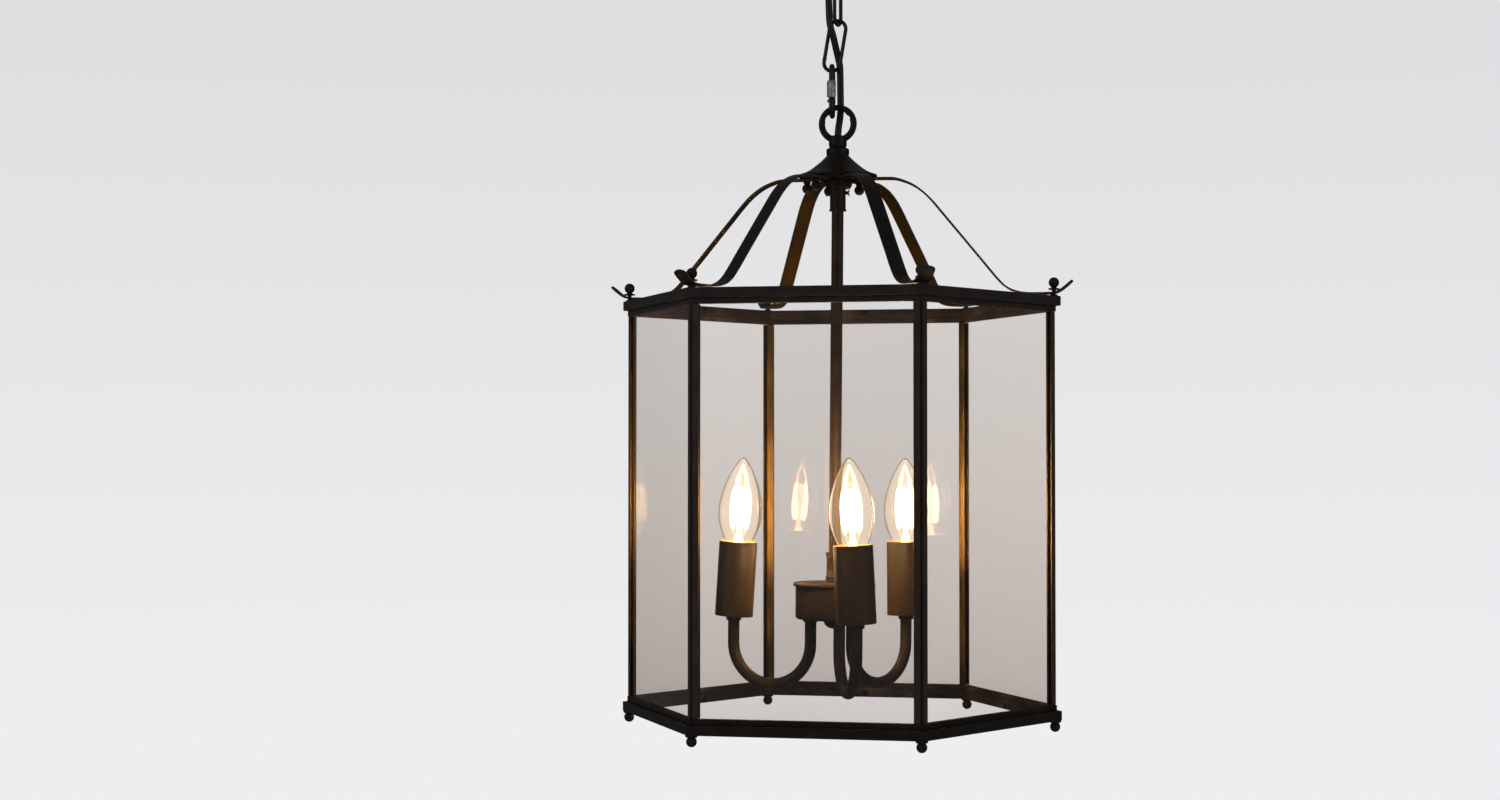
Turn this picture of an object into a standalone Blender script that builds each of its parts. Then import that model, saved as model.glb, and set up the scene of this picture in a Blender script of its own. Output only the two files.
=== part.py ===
"""Hanging lantern: a hexagonal glass cage with a three-candle cluster, on a short chain.

Run with blender --background --python part.py, or from Blender's text editor.
Metres, +Z up. The origin is the centre of the ceiling plate's upper face, so every height
is negative and is measured down from the ceiling. The cage's corners lie at 0, 60, 120, ...
degrees about Z, so one pane faces -Y.
"""

import math

import bmesh
import bpy
from mathutils import Matrix, Vector

# ---------------------------------------------------------------- driving dimensions
GAP = 0.0003  # clearance between pieces that touch
COS30 = math.cos(math.radians(30))
CORNERS = [60 * k for k in range(6)]
SIDES_MID = [60 * k + 30 for k in range(6)]

# Cage: two hexagonal bands, with a channel for the glass on the inner side of each.
BAND_R = 0.175  # corner radius of a band
BAND_TALL = 0.0075
BAND_WIDE = 0.009  # across the flats of one side
PANEL_R = 0.1712  # corner radius of the panels' outer plane
TOP_BAND_Z = -0.3098  # upper face of the top band
LOW_BAND_Z = -0.6382  # lower face of the bottom band
LIP_TALL = 0.0045  # channel lips below the top band and above the bottom band
LIP = 0.0012  # thickness of a lip, and of the channel's web
SLOT = 0.0036  # the channel's inner width
GLASS = 0.003
FINIAL_R = 0.1697  # radius of the corner finials and of the feet

# Dome: six straps gathered under a bell cap.
STRAP_WIDE = 0.012
STRAP_THICK = 0.0015
HUB_Z = -0.2153  # middle of the straps' thickness at the hub
HUB_STUD_R = 0.025
HUB_TURN = -4.0  # degrees by which the hub has turned under the straps
SHANK_R = 0.0048  # threaded shank that ties loop, bell, hub and collar together
EYE_Z = -0.1713  # centre of the hanging ring
EYE_R = 0.01275
EYE_WIRE = 0.00255

# Chain: wire radii, and the half width of a link measured to the wire's middle.
LINK_WIRE = 0.0015
LINK_HALF = 0.0065
LINK_RUN = 0.0272  # straight length of a link's side
LINK_LEAN = 9.5  # degrees by which the cord pushes the lower link over
QUICK_WIRE = 0.002
QUICK_HALF = 0.007
QUICK_RUN = 0.0256
HOOK_WIRE = 0.002
HOOK_R = 0.009
UPPER_TURN = -12.7  # turn about Z of the upper link's plane, from YZ
QUICK_TURN = 4.6  # the same for the quick link

# Supply cord: a round flex from the ceiling rose into the neck of the bell.
CORD_R = 0.0027
CORD_ROUTE = [
    (-0.0130, -0.0080, -0.0143),
    (-0.0130, -0.0080, -0.0240),
    (-0.0130, -0.0080, -0.0340),
    (-0.0118, -0.0074, -0.0430),
    (-0.0095, -0.0062, -0.0530),
    (-0.0073, -0.0055, -0.0640),
    (-0.0063, -0.0052, -0.0740),
    (-0.0060, -0.0051, -0.0830),
    (-0.0056, -0.0052, -0.0905),
    (-0.0044, -0.0047, -0.0970),
    (-0.0031, -0.0029, -0.1020),
    (-0.0024, -0.0001, -0.1065),
    (-0.0016, 0.0027, -0.1115),
    (-0.0005, 0.0046, -0.1175),
    (0.0008, 0.0053, -0.1240),
    (0.0011, 0.0055, -0.1320),
    (0.0012, 0.0057, -0.1420),
    (0.0013, 0.0060, -0.1520),
    (0.0013, 0.0060, -0.1600),
    (0.0010, 0.0046, -0.1665),
    (0.0005, 0.0022, -0.1725),
    (0.0002, 0.0005, -0.1780),
    (0.0, 0.0, -0.1830),
    (0.0, 0.0, -0.1900),
    (0.0, 0.0, -0.2000),
    (0.0, 0.0, -0.2090),
]

# Candle cluster, on a rod clamped in the collar under the hub.
ROD_R = 0.0047
ROD_BORE = 0.003
ROD_TOP = -0.2225
ROD_END = -0.531
ROD_LEAN = 0.5  # degrees by which the rod stands out of plumb in its collar
ROD_LEAN_TO = 189.3  # direction in which its foot has swung
PAN_R = 0.0306
PAN_Z = -0.537  # rim of the pan
PAN_DEEP = 0.0254
ARM_R = 0.0046
ARM_IN = 0.0195  # radius at which an arm enters the pan
ARM_LOW_Z = -0.6154  # lowest point of the arms' middle line
SLEEVE_Z = -0.5623  # lower end of the candle sleeves
SLEEVE_R = 0.0152
SLEEVE_TALL = 0.0595
CANDLES = {1: -68.6, 2: 53.5, 3: 172.0}  # direction of each candle from the rod
CANDLE_OUT = {1: 0.081, 2: 0.081, 3: 0.084}  # distance of each from the rod
CANDLE_RISE = {1: 0.002, 2: 0.0, 3: 0.0}  # height of each sleeve's foot over SLEEVE_Z
CANDLE_LEAN = {1: (0.4, -3.1), 2: (0.0, -0.8), 3: (0.4, 3.2)}  # degrees about X and Y
BULB_SINK = {1: 0.0022, 2: 0.0009, 3: 0.0013}  # depth of each bulb's shoulder in its sleeve

# Finish: colour, roughness, metallic.
FINISHES = {
    "aged_bronze": ((0.020, 0.017, 0.015), 0.42, 0.85),
    "dark_chain": ((0.016, 0.015, 0.014), 0.38, 0.9),
    "worn_steel": ((0.28, 0.25, 0.22), 0.4, 1.0),
    "black_flex": ((0.012, 0.012, 0.012), 0.45, 0.0),
    "sleeve_brown": ((0.045, 0.032, 0.024), 0.5, 0.2),
    "clear_glass": ((0.90, 0.88, 0.86), 0.03, 0.0),
    "bulb_glass": ((1.0, 0.93, 0.82), 0.05, 0.0),
    "holder_white": ((0.75, 0.73, 0.70), 0.5, 0.0),
}


# ---------------------------------------------------------------- helpers
def clear_scene():
    for item in list(bpy.data.objects):
        bpy.data.objects.remove(item, do_unlink=True)


def new_collection(name):
    made = bpy.data.collections.new(name)
    bpy.context.scene.collection.children.link(made)
    return made


def make_finishes():
    made = {}
    for name, (colour, rough, metallic) in FINISHES.items():
        material = bpy.data.materials.new(name)
        material.use_nodes = True
        shader = material.node_tree.nodes["Principled BSDF"]
        shader.inputs["Base Color"].default_value = (*colour, 1.0)
        shader.inputs["Roughness"].default_value = rough
        shader.inputs["Metallic"].default_value = metallic
        material.diffuse_color = (*colour, 1.0)
        made[name] = material
    return made


def place(name, data, finish=None, at=(0, 0, 0), turn=0.0):
    """A named object in the lantern's collection, turned about Z by degrees."""
    made = bpy.data.objects.new(name, data)
    made.location = at
    made.rotation_euler = (0, 0, math.radians(turn))
    LANTERN.objects.link(made)
    if finish and not data.materials:
        data.materials.append(MATERIALS[finish])
    return made


def as_tool(made):
    """Moves an object to the cutters, where it only shapes others."""
    LANTERN.objects.unlink(made)
    CUTTERS.objects.link(made)
    made.hide_render = True
    made.display_type = "WIRE"
    return made


def boolean(target, tool, operation="DIFFERENCE"):
    as_tool(tool)
    modifier = target.modifiers.new(operation.lower(), "BOOLEAN")
    modifier.operation = operation
    modifier.solver = "EXACT"
    modifier.object = tool
    return target


def evaluated_mesh(made):
    bpy.context.view_layer.update()
    depsgraph = bpy.context.evaluated_depsgraph_get()
    return bpy.data.meshes.new_from_object(made.evaluated_get(depsgraph))


def as_mesh(made):
    """The object as a plain welded mesh, in the same place, for a Boolean or for copies."""
    mesh = evaluated_mesh(made)
    weld = bmesh.new()
    weld.from_mesh(mesh)
    bmesh.ops.remove_doubles(weld, verts=weld.verts, dist=1e-6)
    weld.to_mesh(mesh)
    weld.free()
    name, matrix = made.name, made.matrix_world.copy()
    bpy.data.objects.remove(made, do_unlink=True)
    plain = place(name, mesh)
    plain.matrix_world = matrix
    return plain


def copies(first, names_turns):
    """Objects that share the first one's mesh, each turned about Z; the first is used up."""
    first = as_mesh(first)
    mesh = first.data
    mesh.transform(first.matrix_world)
    bpy.data.objects.remove(first, do_unlink=True)
    return [place(name, mesh, turn=turn) for name, turn in names_turns]


def smooth_shade(mesh, angle=35):
    mesh.shade_smooth()
    mesh.set_sharp_from_angle(angle=math.radians(angle))


def turned(name, profile, sides, finish, hollow=False, at=(0, 0, 0), turn=0.0):
    """A profile of (radius, height) turned about Z. The outer side runs top to bottom;
    a hollow one is a closed outline that comes back up its bore."""
    mesh = bpy.data.meshes.new(name)
    points = [(r, 0.0, z) for r, z in profile]
    edges = [(i, i + 1) for i in range(len(points) - 1)]
    if hollow:
        edges.append((len(points) - 1, 0))
    mesh.from_pydata(points, edges, [])
    made = place(name, mesh, finish, at, turn)
    screw = made.modifiers.new("turned", "SCREW")
    screw.steps = sides
    screw.render_steps = sides
    screw.use_merge_vertices = True
    screw.merge_threshold = 1e-6
    screw.use_smooth_shade = sides > 6
    return made


def tube(name, points, radius, finish, loop=False, swell=None, at=(0, 0, 0), turn=0.0):
    """A round bar along the points; swell gives the radius at each point, over radius."""
    curve = bpy.data.curves.new(name, "CURVE")
    curve.dimensions = "3D"
    curve.bevel_depth = radius
    curve.bevel_resolution = 2
    curve.use_fill_caps = not loop
    curve.render_resolution_u = 0
    spline = curve.splines.new("POLY")
    spline.points.add(len(points) - 1)
    for i, point in enumerate(points):
        spline.points[i].co = (*point, 1.0)
        spline.points[i].radius = swell[i] if swell else 1.0
    spline.use_cyclic_u = loop
    return place(name, curve, finish, at, turn)


def prism(name, outline, low, high, finish, turn=0.0):
    """A flat outline in XY, raised from low to high."""
    curve = bpy.data.curves.new(name, "CURVE")
    curve.dimensions = "2D"
    curve.fill_mode = "BOTH"
    curve.extrude = (high - low) / 2
    curve.render_resolution_u = 0
    spline = curve.splines.new("POLY")
    spline.points.add(len(outline) - 1)
    for point, (x, y) in zip(spline.points, outline):
        point.co = (x, y, 0, 1)
    spline.use_cyclic_u = True
    return as_mesh(place(name, curve, finish, (0, 0, (low + high) / 2), turn))


def cylinder(name, radius, low, high, x=0.0, y=0.0, sides=10, axis="Z"):
    """A plain round bar, as a tool; low and high run along its axis."""
    mesh = bpy.data.meshes.new(name)
    shape = bmesh.new()
    bmesh.ops.create_cone(
        shape,
        cap_ends=True,
        segments=sides,
        radius1=radius,
        radius2=radius,
        depth=high - low,
    )
    if axis == "X":
        bmesh.ops.rotate(
            shape, verts=shape.verts, matrix=Matrix.Rotation(math.pi / 2, 3, "Y")
        )
    shape.to_mesh(mesh)
    shape.free()
    middle = (low + high) / 2
    return place(name, mesh, at=(middle, x, y) if axis == "X" else (x, y, middle))


def box(name, size, centre, finish=None, turn=0.0):
    mesh = bpy.data.meshes.new(name)
    shape = bmesh.new()
    bmesh.ops.create_cube(shape, size=1.0)
    bmesh.ops.scale(shape, vec=size, verts=shape.verts)
    shape.to_mesh(mesh)
    shape.free()
    made = place(name, mesh, finish, centre, turn)
    return made


def smooth_line(points, step):
    """Points about a step apart on a Catmull-Rom curve through the given ones."""
    given = [Vector(p) for p in points]
    ends = [given[0] * 2 - given[1]] + given + [given[-1] * 2 - given[-2]]
    line = []
    for i in range(1, len(ends) - 2):
        a, b, c, d = ends[i - 1 : i + 3]
        count = max(1, round((c - b).length / step))
        for k in range(count):
            t = k / count
            line.append(
                0.5
                * (
                    2 * b
                    + (c - a) * t
                    + (2 * a - 5 * b + 4 * c - d) * t * t
                    + (3 * b - a - 3 * c + d) * t**3
                )
            )
    return line + [given[-1]]


def oval(half, run, bend_steps, centre=(0, 0, 0), lean=0.0):
    """A link's closed line in XZ: two straight sides joined by half circles."""
    line = []
    for k in range(2 * bend_steps + 2):
        upper = k <= bend_steps
        step = k if upper else k - 1
        angle = math.pi * step / bend_steps
        x = half * math.cos(angle)
        z = half * math.sin(angle) + (run / 2 if upper else -run / 2)
        line.append(Vector((x, 0, z)))
    turn = Matrix.Rotation(math.radians(lean), 3, "Y")
    return [turn @ p + Vector(centre) for p in line]


def polar(radius, degrees, z=0.0):
    angle = math.radians(degrees)
    return Vector((radius * math.cos(angle), radius * math.sin(angle), z))


def pivot(name, at, parent=None):
    """An empty on a joint's axis, which carries the pieces that the joint moves."""
    made = place(name, None, at=at)
    made.empty_display_size = 0.01
    if parent:
        attach(parent, made)
    return made


def attach(parent, *pieces):
    bpy.context.view_layer.update()
    for piece in pieces:
        piece.parent = parent
        piece.matrix_parent_inverse = parent.matrix_world.inverted()


# ---------------------------------------------------------------- heights of the chain
def chain_levels():
    """Middle of the wire at each contact, worked up from the hanging ring."""
    side = LINK_RUN * math.sin(math.radians(LINK_LEAN))
    inside = EYE_R * math.cos(math.pi / 24) - EYE_WIRE - QUICK_WIRE - GAP
    quick_low = EYE_Z + math.sqrt(inside**2 - side**2)
    quick_top = quick_low + QUICK_RUN + 2 * QUICK_HALF
    lower_low = quick_top - QUICK_WIRE - LINK_WIRE - GAP
    lower_top = (
        lower_low + LINK_RUN * math.cos(math.radians(LINK_LEAN)) + 2 * LINK_HALF
    )
    upper_low = lower_top - 2 * LINK_WIRE - GAP
    upper_top = upper_low + LINK_RUN + 2 * LINK_HALF
    hook_low = upper_top - LINK_WIRE - HOOK_WIRE - GAP
    return {
        "side": -side,
        "quick_low": quick_low,
        "lower_low": lower_low,
        "upper_low": upper_low,
        "hook_low": hook_low,
    }


# ---------------------------------------------------------------- ceiling
def make_hook_plate():
    """Ceiling plate, stem and the loop that the chain hangs from."""
    loop_z = LEVEL["hook_low"] + HOOK_R
    plate = turned(
        "hook_plate",
        [
            (0, 0),
            (0.032, 0),
            (0.032, -0.0025),
            (0.004, -0.0025),
            (0.004, -0.0335),
            (0.0026, loop_z + HOOK_R + 0.0005),
            (0, loop_z + HOOK_R + 0.0005),
        ],
        20,
        "aged_bronze",
    )
    circle = [
        (
            HOOK_R * math.cos(math.tau * k / 16),
            0,
            loop_z + HOOK_R * math.sin(math.tau * k / 16),
        )
        for k in range(16)
    ]
    loop = tube("hook_loop", circle, HOOK_WIRE, None, loop=True, turn=UPPER_TURN)
    boolean(plate, as_mesh(loop), "UNION")
    for x in (-0.024, 0.024):
        boolean(plate, cylinder("plate_hole", 0.0023, -0.004, 0.002, x=x))
    return plate


def make_ceiling_rose():
    outer = [
        (0.049, 0),
        (0.049, -0.004),
        (0.0452, -0.010),
        (0.036, -0.018),
        (0.027, -0.0233),
        (0.022, -0.0245),
        (0.0045, -0.0245),
    ]
    inner = [
        (0.0045, -0.0233),
        (0.0218, -0.0233),
        (0.0263, -0.0222),
        (0.0352, -0.017),
        (0.0442, -0.0092),
        (0.0478, -0.0036),
        (0.0478, 0),
    ]
    rose = turned("ceiling_rose", outer + inner, 24, "aged_bronze", hollow=True)
    x, y, _ = CORD_ROUTE[0]
    boolean(rose, cylinder("rose_cord_hole", 0.0052, -0.027, -0.020, x, y, 12))
    return rose


def make_rose_nut():
    top, low = -0.0248, -0.0298
    return turned(
        "rose_nut",
        [
            (0.0044, top),
            (0.0072, top),
            (0.008, top - 0.0008),
            (0.008, low + 0.0008),
            (0.0072, low),
            (0.0044, low),
        ],
        12,
        "aged_bronze",
        hollow=True,
    )


def make_cord_grip():
    """Strain relief that the cord leaves the rose by."""
    bore = CORD_R + GAP
    return turned(
        "cord_grip",
        [
            (bore, -0.0195),
            (0.0047, -0.0195),
            (0.0047, -0.0248),
            (0.0064, -0.0248),
            (0.0064, -0.0264),
            (0.005, -0.0275),
            (0.0041, -0.0335),
            (bore, -0.0335),
        ],
        12,
        "black_flex",
        hollow=True,
        at=(CORD_ROUTE[0][0], CORD_ROUTE[0][1], 0),
    )


def make_terminal_block():
    x, y, top = CORD_ROUTE[0]
    size = (0.020, 0.012, 0.010)
    return box(
        "terminal_block", size, (x - 0.003, y, top + GAP + size[2] / 2), "holder_white"
    )


def make_supply_cord():
    line = smooth_line(CORD_ROUTE, 0.0065)
    return tube("supply_cord", line, CORD_R, "black_flex")


# ---------------------------------------------------------------- chain
def make_chain_link_upper():
    middle = LEVEL["upper_low"] + LINK_HALF + LINK_RUN / 2
    line = oval(LINK_HALF, LINK_RUN, 8)
    return tube(
        "chain_link_upper",
        line,
        LINK_WIRE,
        "dark_chain",
        loop=True,
        at=(0, 0, middle),
        turn=90 + UPPER_TURN,
    )


def make_chain_link_lower():
    lean = math.radians(LINK_LEAN)
    middle = LEVEL["lower_low"] + LINK_HALF + LINK_RUN / 2 * math.cos(lean)
    line = oval(LINK_HALF, LINK_RUN, 8, lean=LINK_LEAN)
    return tube(
        "chain_link_lower",
        line,
        LINK_WIRE,
        "dark_chain",
        loop=True,
        at=(LEVEL["side"] / 2, 0, middle),
    )


QUICK_COLLAR = (0.0101, 0.0119)  # of the collar on the near bar, above the link's low wire
QUICK_GATE = (0.0154, 0.0202)  # the opening that the nut closes
QUICK_NUT = (0.0138, 0.0272)


def make_quick_link():
    """A wire loop with an opening in its near bar, and a collar under the nut."""
    low = -QUICK_RUN / 2 - QUICK_HALF
    collar_low, collar_top = (low + h for h in QUICK_COLLAR)
    gate_low, gate_top = (low + h for h in QUICK_GATE)
    near = -QUICK_HALF
    bend = [math.pi * k / 8 for k in range(9)]
    lower = [
        (near * math.cos(a), 0, -QUICK_RUN / 2 - QUICK_HALF * math.sin(a)) for a in bend
    ]
    upper = [
        (QUICK_HALF * math.cos(a), 0, QUICK_RUN / 2 + QUICK_HALF * math.sin(a))
        for a in bend
    ]
    start = [
        (gate_low, 1.0),
        (collar_top + 0.0002, 1.0),
        (collar_top, 1.65),
        (collar_low, 1.65),
        (collar_low - 0.0002, 1.0),
    ]
    line = [(near, 0, z) for z, _ in start] + lower + upper + [(near, 0, gate_top)]
    swell = [s for _, s in start] + [1.0] * (len(line) - len(start))
    middle = LEVEL["quick_low"] - low
    return tube(
        "quick_link",
        line,
        QUICK_WIRE,
        "dark_chain",
        swell=swell,
        at=(LEVEL["side"], 0, middle),
        turn=90 + QUICK_TURN,
    )


def make_quick_link_nut():
    low, high = (LEVEL["quick_low"] + h for h in QUICK_NUT)
    profile = [
        (0.0024, high),
        (0.003, high),
        (0.0036, high - 0.0006),
        (0.0036, low + 0.0006),
        (0.003, low),
        (0.0024, low),
    ]
    x, y, _ = polar(QUICK_HALF, QUICK_TURN - 90)
    return turned(
        "quick_link_nut",
        profile,
        12,
        "worn_steel",
        hollow=True,
        at=(LEVEL["side"] + x, y, 0),
    )


# ---------------------------------------------------------------- loop, bell and hub
def make_hang_loop():
    """Cast ring on a neck, with the hollow shank that holds the stack below it."""
    bore = 0.0034
    foot = -0.2178
    neck = turned(
        "hang_loop",
        [
            (bore, -0.1810),
            (0.0064, -0.1810),
            (0.0071, -0.1818),
            (0.0071, -0.1884),
            (0.0065, -0.1902),
            (SHANK_R, -0.1905),
            (SHANK_R, foot),
            (bore, foot),
        ],
        14,
        "aged_bronze",
        hollow=True,
    )
    ring = [
        (
            EYE_R * math.cos(math.tau * k / 24),
            0,
            EYE_Z + EYE_R * math.sin(math.tau * k / 24),
        )
        for k in range(24)
    ]
    boolean(neck, as_mesh(tube("eye", ring, EYE_WIRE, None, loop=True)), "UNION")
    boolean(neck, cylinder("eye_bore", bore - 0.0001, -0.192, -0.176, sides=14))
    return neck


def make_bell_cap():
    outer = [
        (0.00515, -0.1908),
        (0.0086, -0.1908),
        (0.0091, -0.1920),
        (0.0091, -0.1951),
        (0.0088, -0.1962),
        (0.0122, -0.2000),
        (0.0168, -0.2041),
        (0.0227, -0.2084),
        (0.0280, -0.2109),
        (0.0311, -0.2119),
        (0.0312, -0.2137),
        (0.0299, -0.2137),
    ]
    inner = [
        (0.0296, -0.2129),
        (0.0265, -0.2119),
        (0.0215, -0.2096),
        (0.0155, -0.2052),
        (0.0108, -0.2008),
        (0.0076, -0.1974),
        (0.0072, -0.1924),
        (0.00515, -0.1924),
    ]
    return turned("bell_cap", outer + inner, 24, "aged_bronze", hollow=True)


def make_strap_hub():
    """Disc above the strap ends, with the six studs and ball nuts that clamp them."""
    over = HUB_Z + STRAP_THICK / 2 + GAP
    under = HUB_Z - STRAP_THICK / 2 - GAP
    disc = turned(
        "strap_hub",
        [
            (0.0052, over + 0.0017),
            (0.027, over + 0.0017),
            (0.027, over),
            (0.0052, over),
        ],
        24,
        "aged_bronze",
        hollow=True,
    )
    ball, centre = 0.004, under - 0.0056
    profile = [
        (0, over + 0.0008),
        (0.0017, over + 0.0008),
        (0.0017, under),
        (0.0028, under),
        (0.0026, centre + 0.0031),
    ]
    profile += [
        (
            ball * math.cos(math.radians(a)),
            centre + ball * math.sin(math.radians(a)),
        )
        for a in (30, 0, -30, -60)
    ]
    profile += [(0, centre - ball)]
    nut = as_mesh(turned("ball_nut", profile, 8, None))
    for k, corner in enumerate(CORNERS):
        x, y, _ = polar(HUB_STUD_R, corner + HUB_TURN)
        one = place(f"ball_nut_{k + 1}", nut.data, at=(x, y, 0))
        boolean(disc, one, "UNION")
    bpy.data.objects.remove(nut, do_unlink=True)
    return disc


def make_rod_collar():
    """Sleeve under the hub. The shank screws into its top and the rod is clamped below."""
    collar = turned(
        "rod_collar",
        [
            (0.0051, -0.2146),
            (0.0066, -0.2146),
            (0.0066, -0.2214),
            (0.00625, -0.2218),
            (0.00625, -0.2388),
            (0.0068, -0.2391),
            (0.0068, -0.2404),
            (0.0051, -0.2404),
        ],
        16,
        "aged_bronze",
        hollow=True,
    )
    hole = cylinder(
        "collar_cross_hole", 0.0018, -0.012, 0.012, 0, SCREW_Z, 10, axis="X"
    )
    return boolean(collar, hole)


SCREW_Z = -0.226


def make_thumb_screw(name, turn):
    """A small winged screw through the collar's wall, along +X before it is turned."""
    half = [
        (0.0067, 0.0008),
        (0.0077, 0.0009),
        (0.0090, 0.0028),
        (0.0096, 0.0026),
        (0.0088, 0.0),
    ]
    outline = half + [(x, -y) for x, y in reversed(half[:-1])]
    wing = prism("wing", outline, SCREW_Z - 0.0006, SCREW_Z + 0.0006, "aged_bronze")
    wing.rotation_euler = (math.radians(90), 0, 0)
    wing.name = name
    shank = cylinder(
        "screw_shank", 0.0015, ROD_R + GAP, 0.0078, 0, SCREW_Z, 8, axis="X"
    )
    boolean(wing, shank, "UNION")
    screw = as_mesh(wing)
    centre = Vector((0, 0, SCREW_Z))
    screw.data.transform(Matrix.Translation(-centre) @ screw.matrix_world)
    screw.matrix_world = Matrix.Translation(centre) @ Matrix.Rotation(
        math.radians(turn), 4, "Z"
    )
    return screw


# ---------------------------------------------------------------- straps and finials
# Middle line of a strap as (radius, height above the top band), from hub to tip.
STRAP_LINE = [
    (0.0170, 0.0945),
    (0.0300, 0.0945),
    (0.0400, 0.0944),
    (0.0470, 0.0938),
    (0.0568, 0.0904),
    (0.0652, 0.0853),
    (0.0737, 0.0775),
    (0.0850, 0.0640),
    (0.0991, 0.0469),
    (0.1130, 0.0300),
    (0.1265, 0.0136),
    (0.1335, 0.0072),
    (0.1410, 0.0038),
    (0.1500, 0.0023),
    (0.1620, 0.0022),
    (0.1700, 0.0026),
    (0.1743, 0.0041),
    (0.1785, 0.0071),
    (0.1843, 0.0121),
]


def make_straps():
    line = smooth_line([(r, 0, TOP_BAND_Z + h) for r, h in STRAP_LINE], 0.009)
    tip = line[-1]
    shape = bmesh.new()
    rows = []
    ends = [line[-2].lerp(tip, t) for t in (0.35, 0.65, 0.88)]
    for point in line[:-1] + ends + [tip]:
        back = (tip - point).length
        reach = STRAP_WIDE / 2
        inside = max(0.0, 1 - back / reach)
        half = reach * math.sqrt(max(0.02, 1 - inside**2))
        rows.append(
            [
                shape.verts.new(point + Vector((0, -half, 0))),
                shape.verts.new(point + Vector((0, half, 0))),
            ]
        )
    for a, b in zip(rows, rows[1:]):
        shape.faces.new((a[0], b[0], b[1], a[1]))
    mesh = bpy.data.meshes.new("strap")
    shape.to_mesh(mesh)
    shape.free()
    strap = place("strap", mesh, "aged_bronze")
    sheet = strap.modifiers.new("thickness", "SOLIDIFY")
    sheet.thickness = STRAP_THICK
    sheet.offset = 0
    sheet.use_even_offset = True
    x, y, _ = polar(HUB_STUD_R, HUB_TURN)
    boolean(strap, cylinder("stud_hole", 0.0021, HUB_Z - 0.004, HUB_Z + 0.004, x, y))
    boolean(
        strap,
        cylinder("finial_hole", 0.002, TOP_BAND_Z, TOP_BAND_Z + 0.006, FINIAL_R),
    )
    return copies(strap, [(f"strap_{k + 1}", c) for k, c in enumerate(CORNERS)])


def make_corner_finials():
    """Ball nuts that hold the strap ends down on the top band, each with its stud."""
    z = TOP_BAND_Z
    ball, centre = 0.0041, 0.0105
    profile = [(0, z + centre + ball)]
    profile += [
        (
            ball * math.cos(math.radians(a)),
            z + centre + ball * math.sin(math.radians(a)),
        )
        for a in (60, 30, 0, -30)
    ]
    profile += [
        (0.0022, z + 0.0066),
        (0.0030, z + 0.0060),
        (0.0042, z + 0.0058),
        (0.0042, z + 0.0049),
        (0.0016, z + 0.0049),
        (0.0016, z + 0.0011),
        (0.0030, z + 0.0011),
        (0.0030, z + GAP),
        (0.0016, z + GAP),
        (0.0016, z - 0.0045),
        (0, z - 0.0045),
    ]
    finial = as_mesh(turned("finial", profile, 8, "aged_bronze"))
    smooth_shade(finial.data)
    finial.data.transform(Matrix.Translation((FINIAL_R, 0, 0)))
    return copies(
        finial, [(f"corner_finial_{k + 1}", c) for k, c in enumerate(CORNERS)]
    )


# ---------------------------------------------------------------- cage
PANEL_A = PANEL_R * COS30  # distance from the axis to the panels' outer plane
BAND_A = BAND_R * COS30


def band_profile(z, way):
    """A band and the channel on it, as (corner radius, height). way is -1 for a channel
    that hangs below the band's face at z, and 1 for one that stands on it."""
    outline = [
        (BAND_A, z - way * BAND_TALL),
        (BAND_A, z),
        (PANEL_A, z),
        (PANEL_A, z + way * LIP_TALL),
        (PANEL_A - LIP, z + way * LIP_TALL),
        (PANEL_A - LIP, z + way * LIP),
        (PANEL_A - LIP - SLOT, z + way * LIP),
        (PANEL_A - LIP - SLOT, z + way * LIP_TALL),
        (PANEL_A - 2 * LIP - SLOT, z + way * LIP_TALL),
        (PANEL_A - 2 * LIP - SLOT, z - way * 0.0003),
        (BAND_A - BAND_WIDE, z - way * 0.0003),
        (BAND_A - BAND_WIDE, z - way * BAND_TALL),
    ]
    if way > 0:
        outline.reverse()
    return [(a / COS30, height) for a, height in outline]


def make_top_ring():
    ring = turned(
        "top_ring",
        band_profile(TOP_BAND_Z - BAND_TALL, -1),
        6,
        "aged_bronze",
        hollow=True,
    )
    for corner in CORNERS:
        x, y, _ = polar(FINIAL_R, corner)
        boolean(
            ring,
            cylinder("stud_seat", 0.002, TOP_BAND_Z - 0.0055, TOP_BAND_Z + 0.002, x, y),
        )
    return ring


def make_bottom_ring():
    """The lower band with the six ball feet screwed up into it."""
    ring = turned(
        "bottom_ring",
        band_profile(LOW_BAND_Z + BAND_TALL, 1),
        6,
        "aged_bronze",
        hollow=True,
    )
    z = LOW_BAND_Z
    ball, centre = 0.004, z - 0.0048
    profile = [
        (0, z + 0.001),
        (0.0046, z + 0.001),
        (0.0046, z - 0.0017),
        (0.0026, z - 0.0019),
    ]
    profile += [
        (
            ball * math.cos(math.radians(a)),
            centre + ball * math.sin(math.radians(a)),
        )
        for a in (30, 0, -30, -60)
    ]
    profile += [(0, centre - ball)]
    foot = as_mesh(turned("foot", profile, 8, None))
    for k, corner in enumerate(CORNERS):
        x, y, _ = polar(FINIAL_R, corner)
        boolean(ring, place(f"foot_{k + 1}", foot.data, at=(x, y, 0)), "UNION")
    bpy.data.objects.remove(foot, do_unlink=True)
    return ring


def corner_outline(half):
    """A section drawn on one side of a corner, as (along the side, inward from the
    panels' plane), mirrored about the corner's bisector and set at the corner on +X."""

    def at(u, v, way):
        # The side leaves the corner at 120 degrees from +X, and its inward normal at 210.
        along = polar(u, 120 * way)
        inward = polar(v, (120 + 90) * way)
        return (PANEL_R + along.x + inward.x, along.y + inward.y)

    return [at(u, v, 1) for u, v in half] + [at(u, v, -1) for u, v in reversed(half)]


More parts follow.
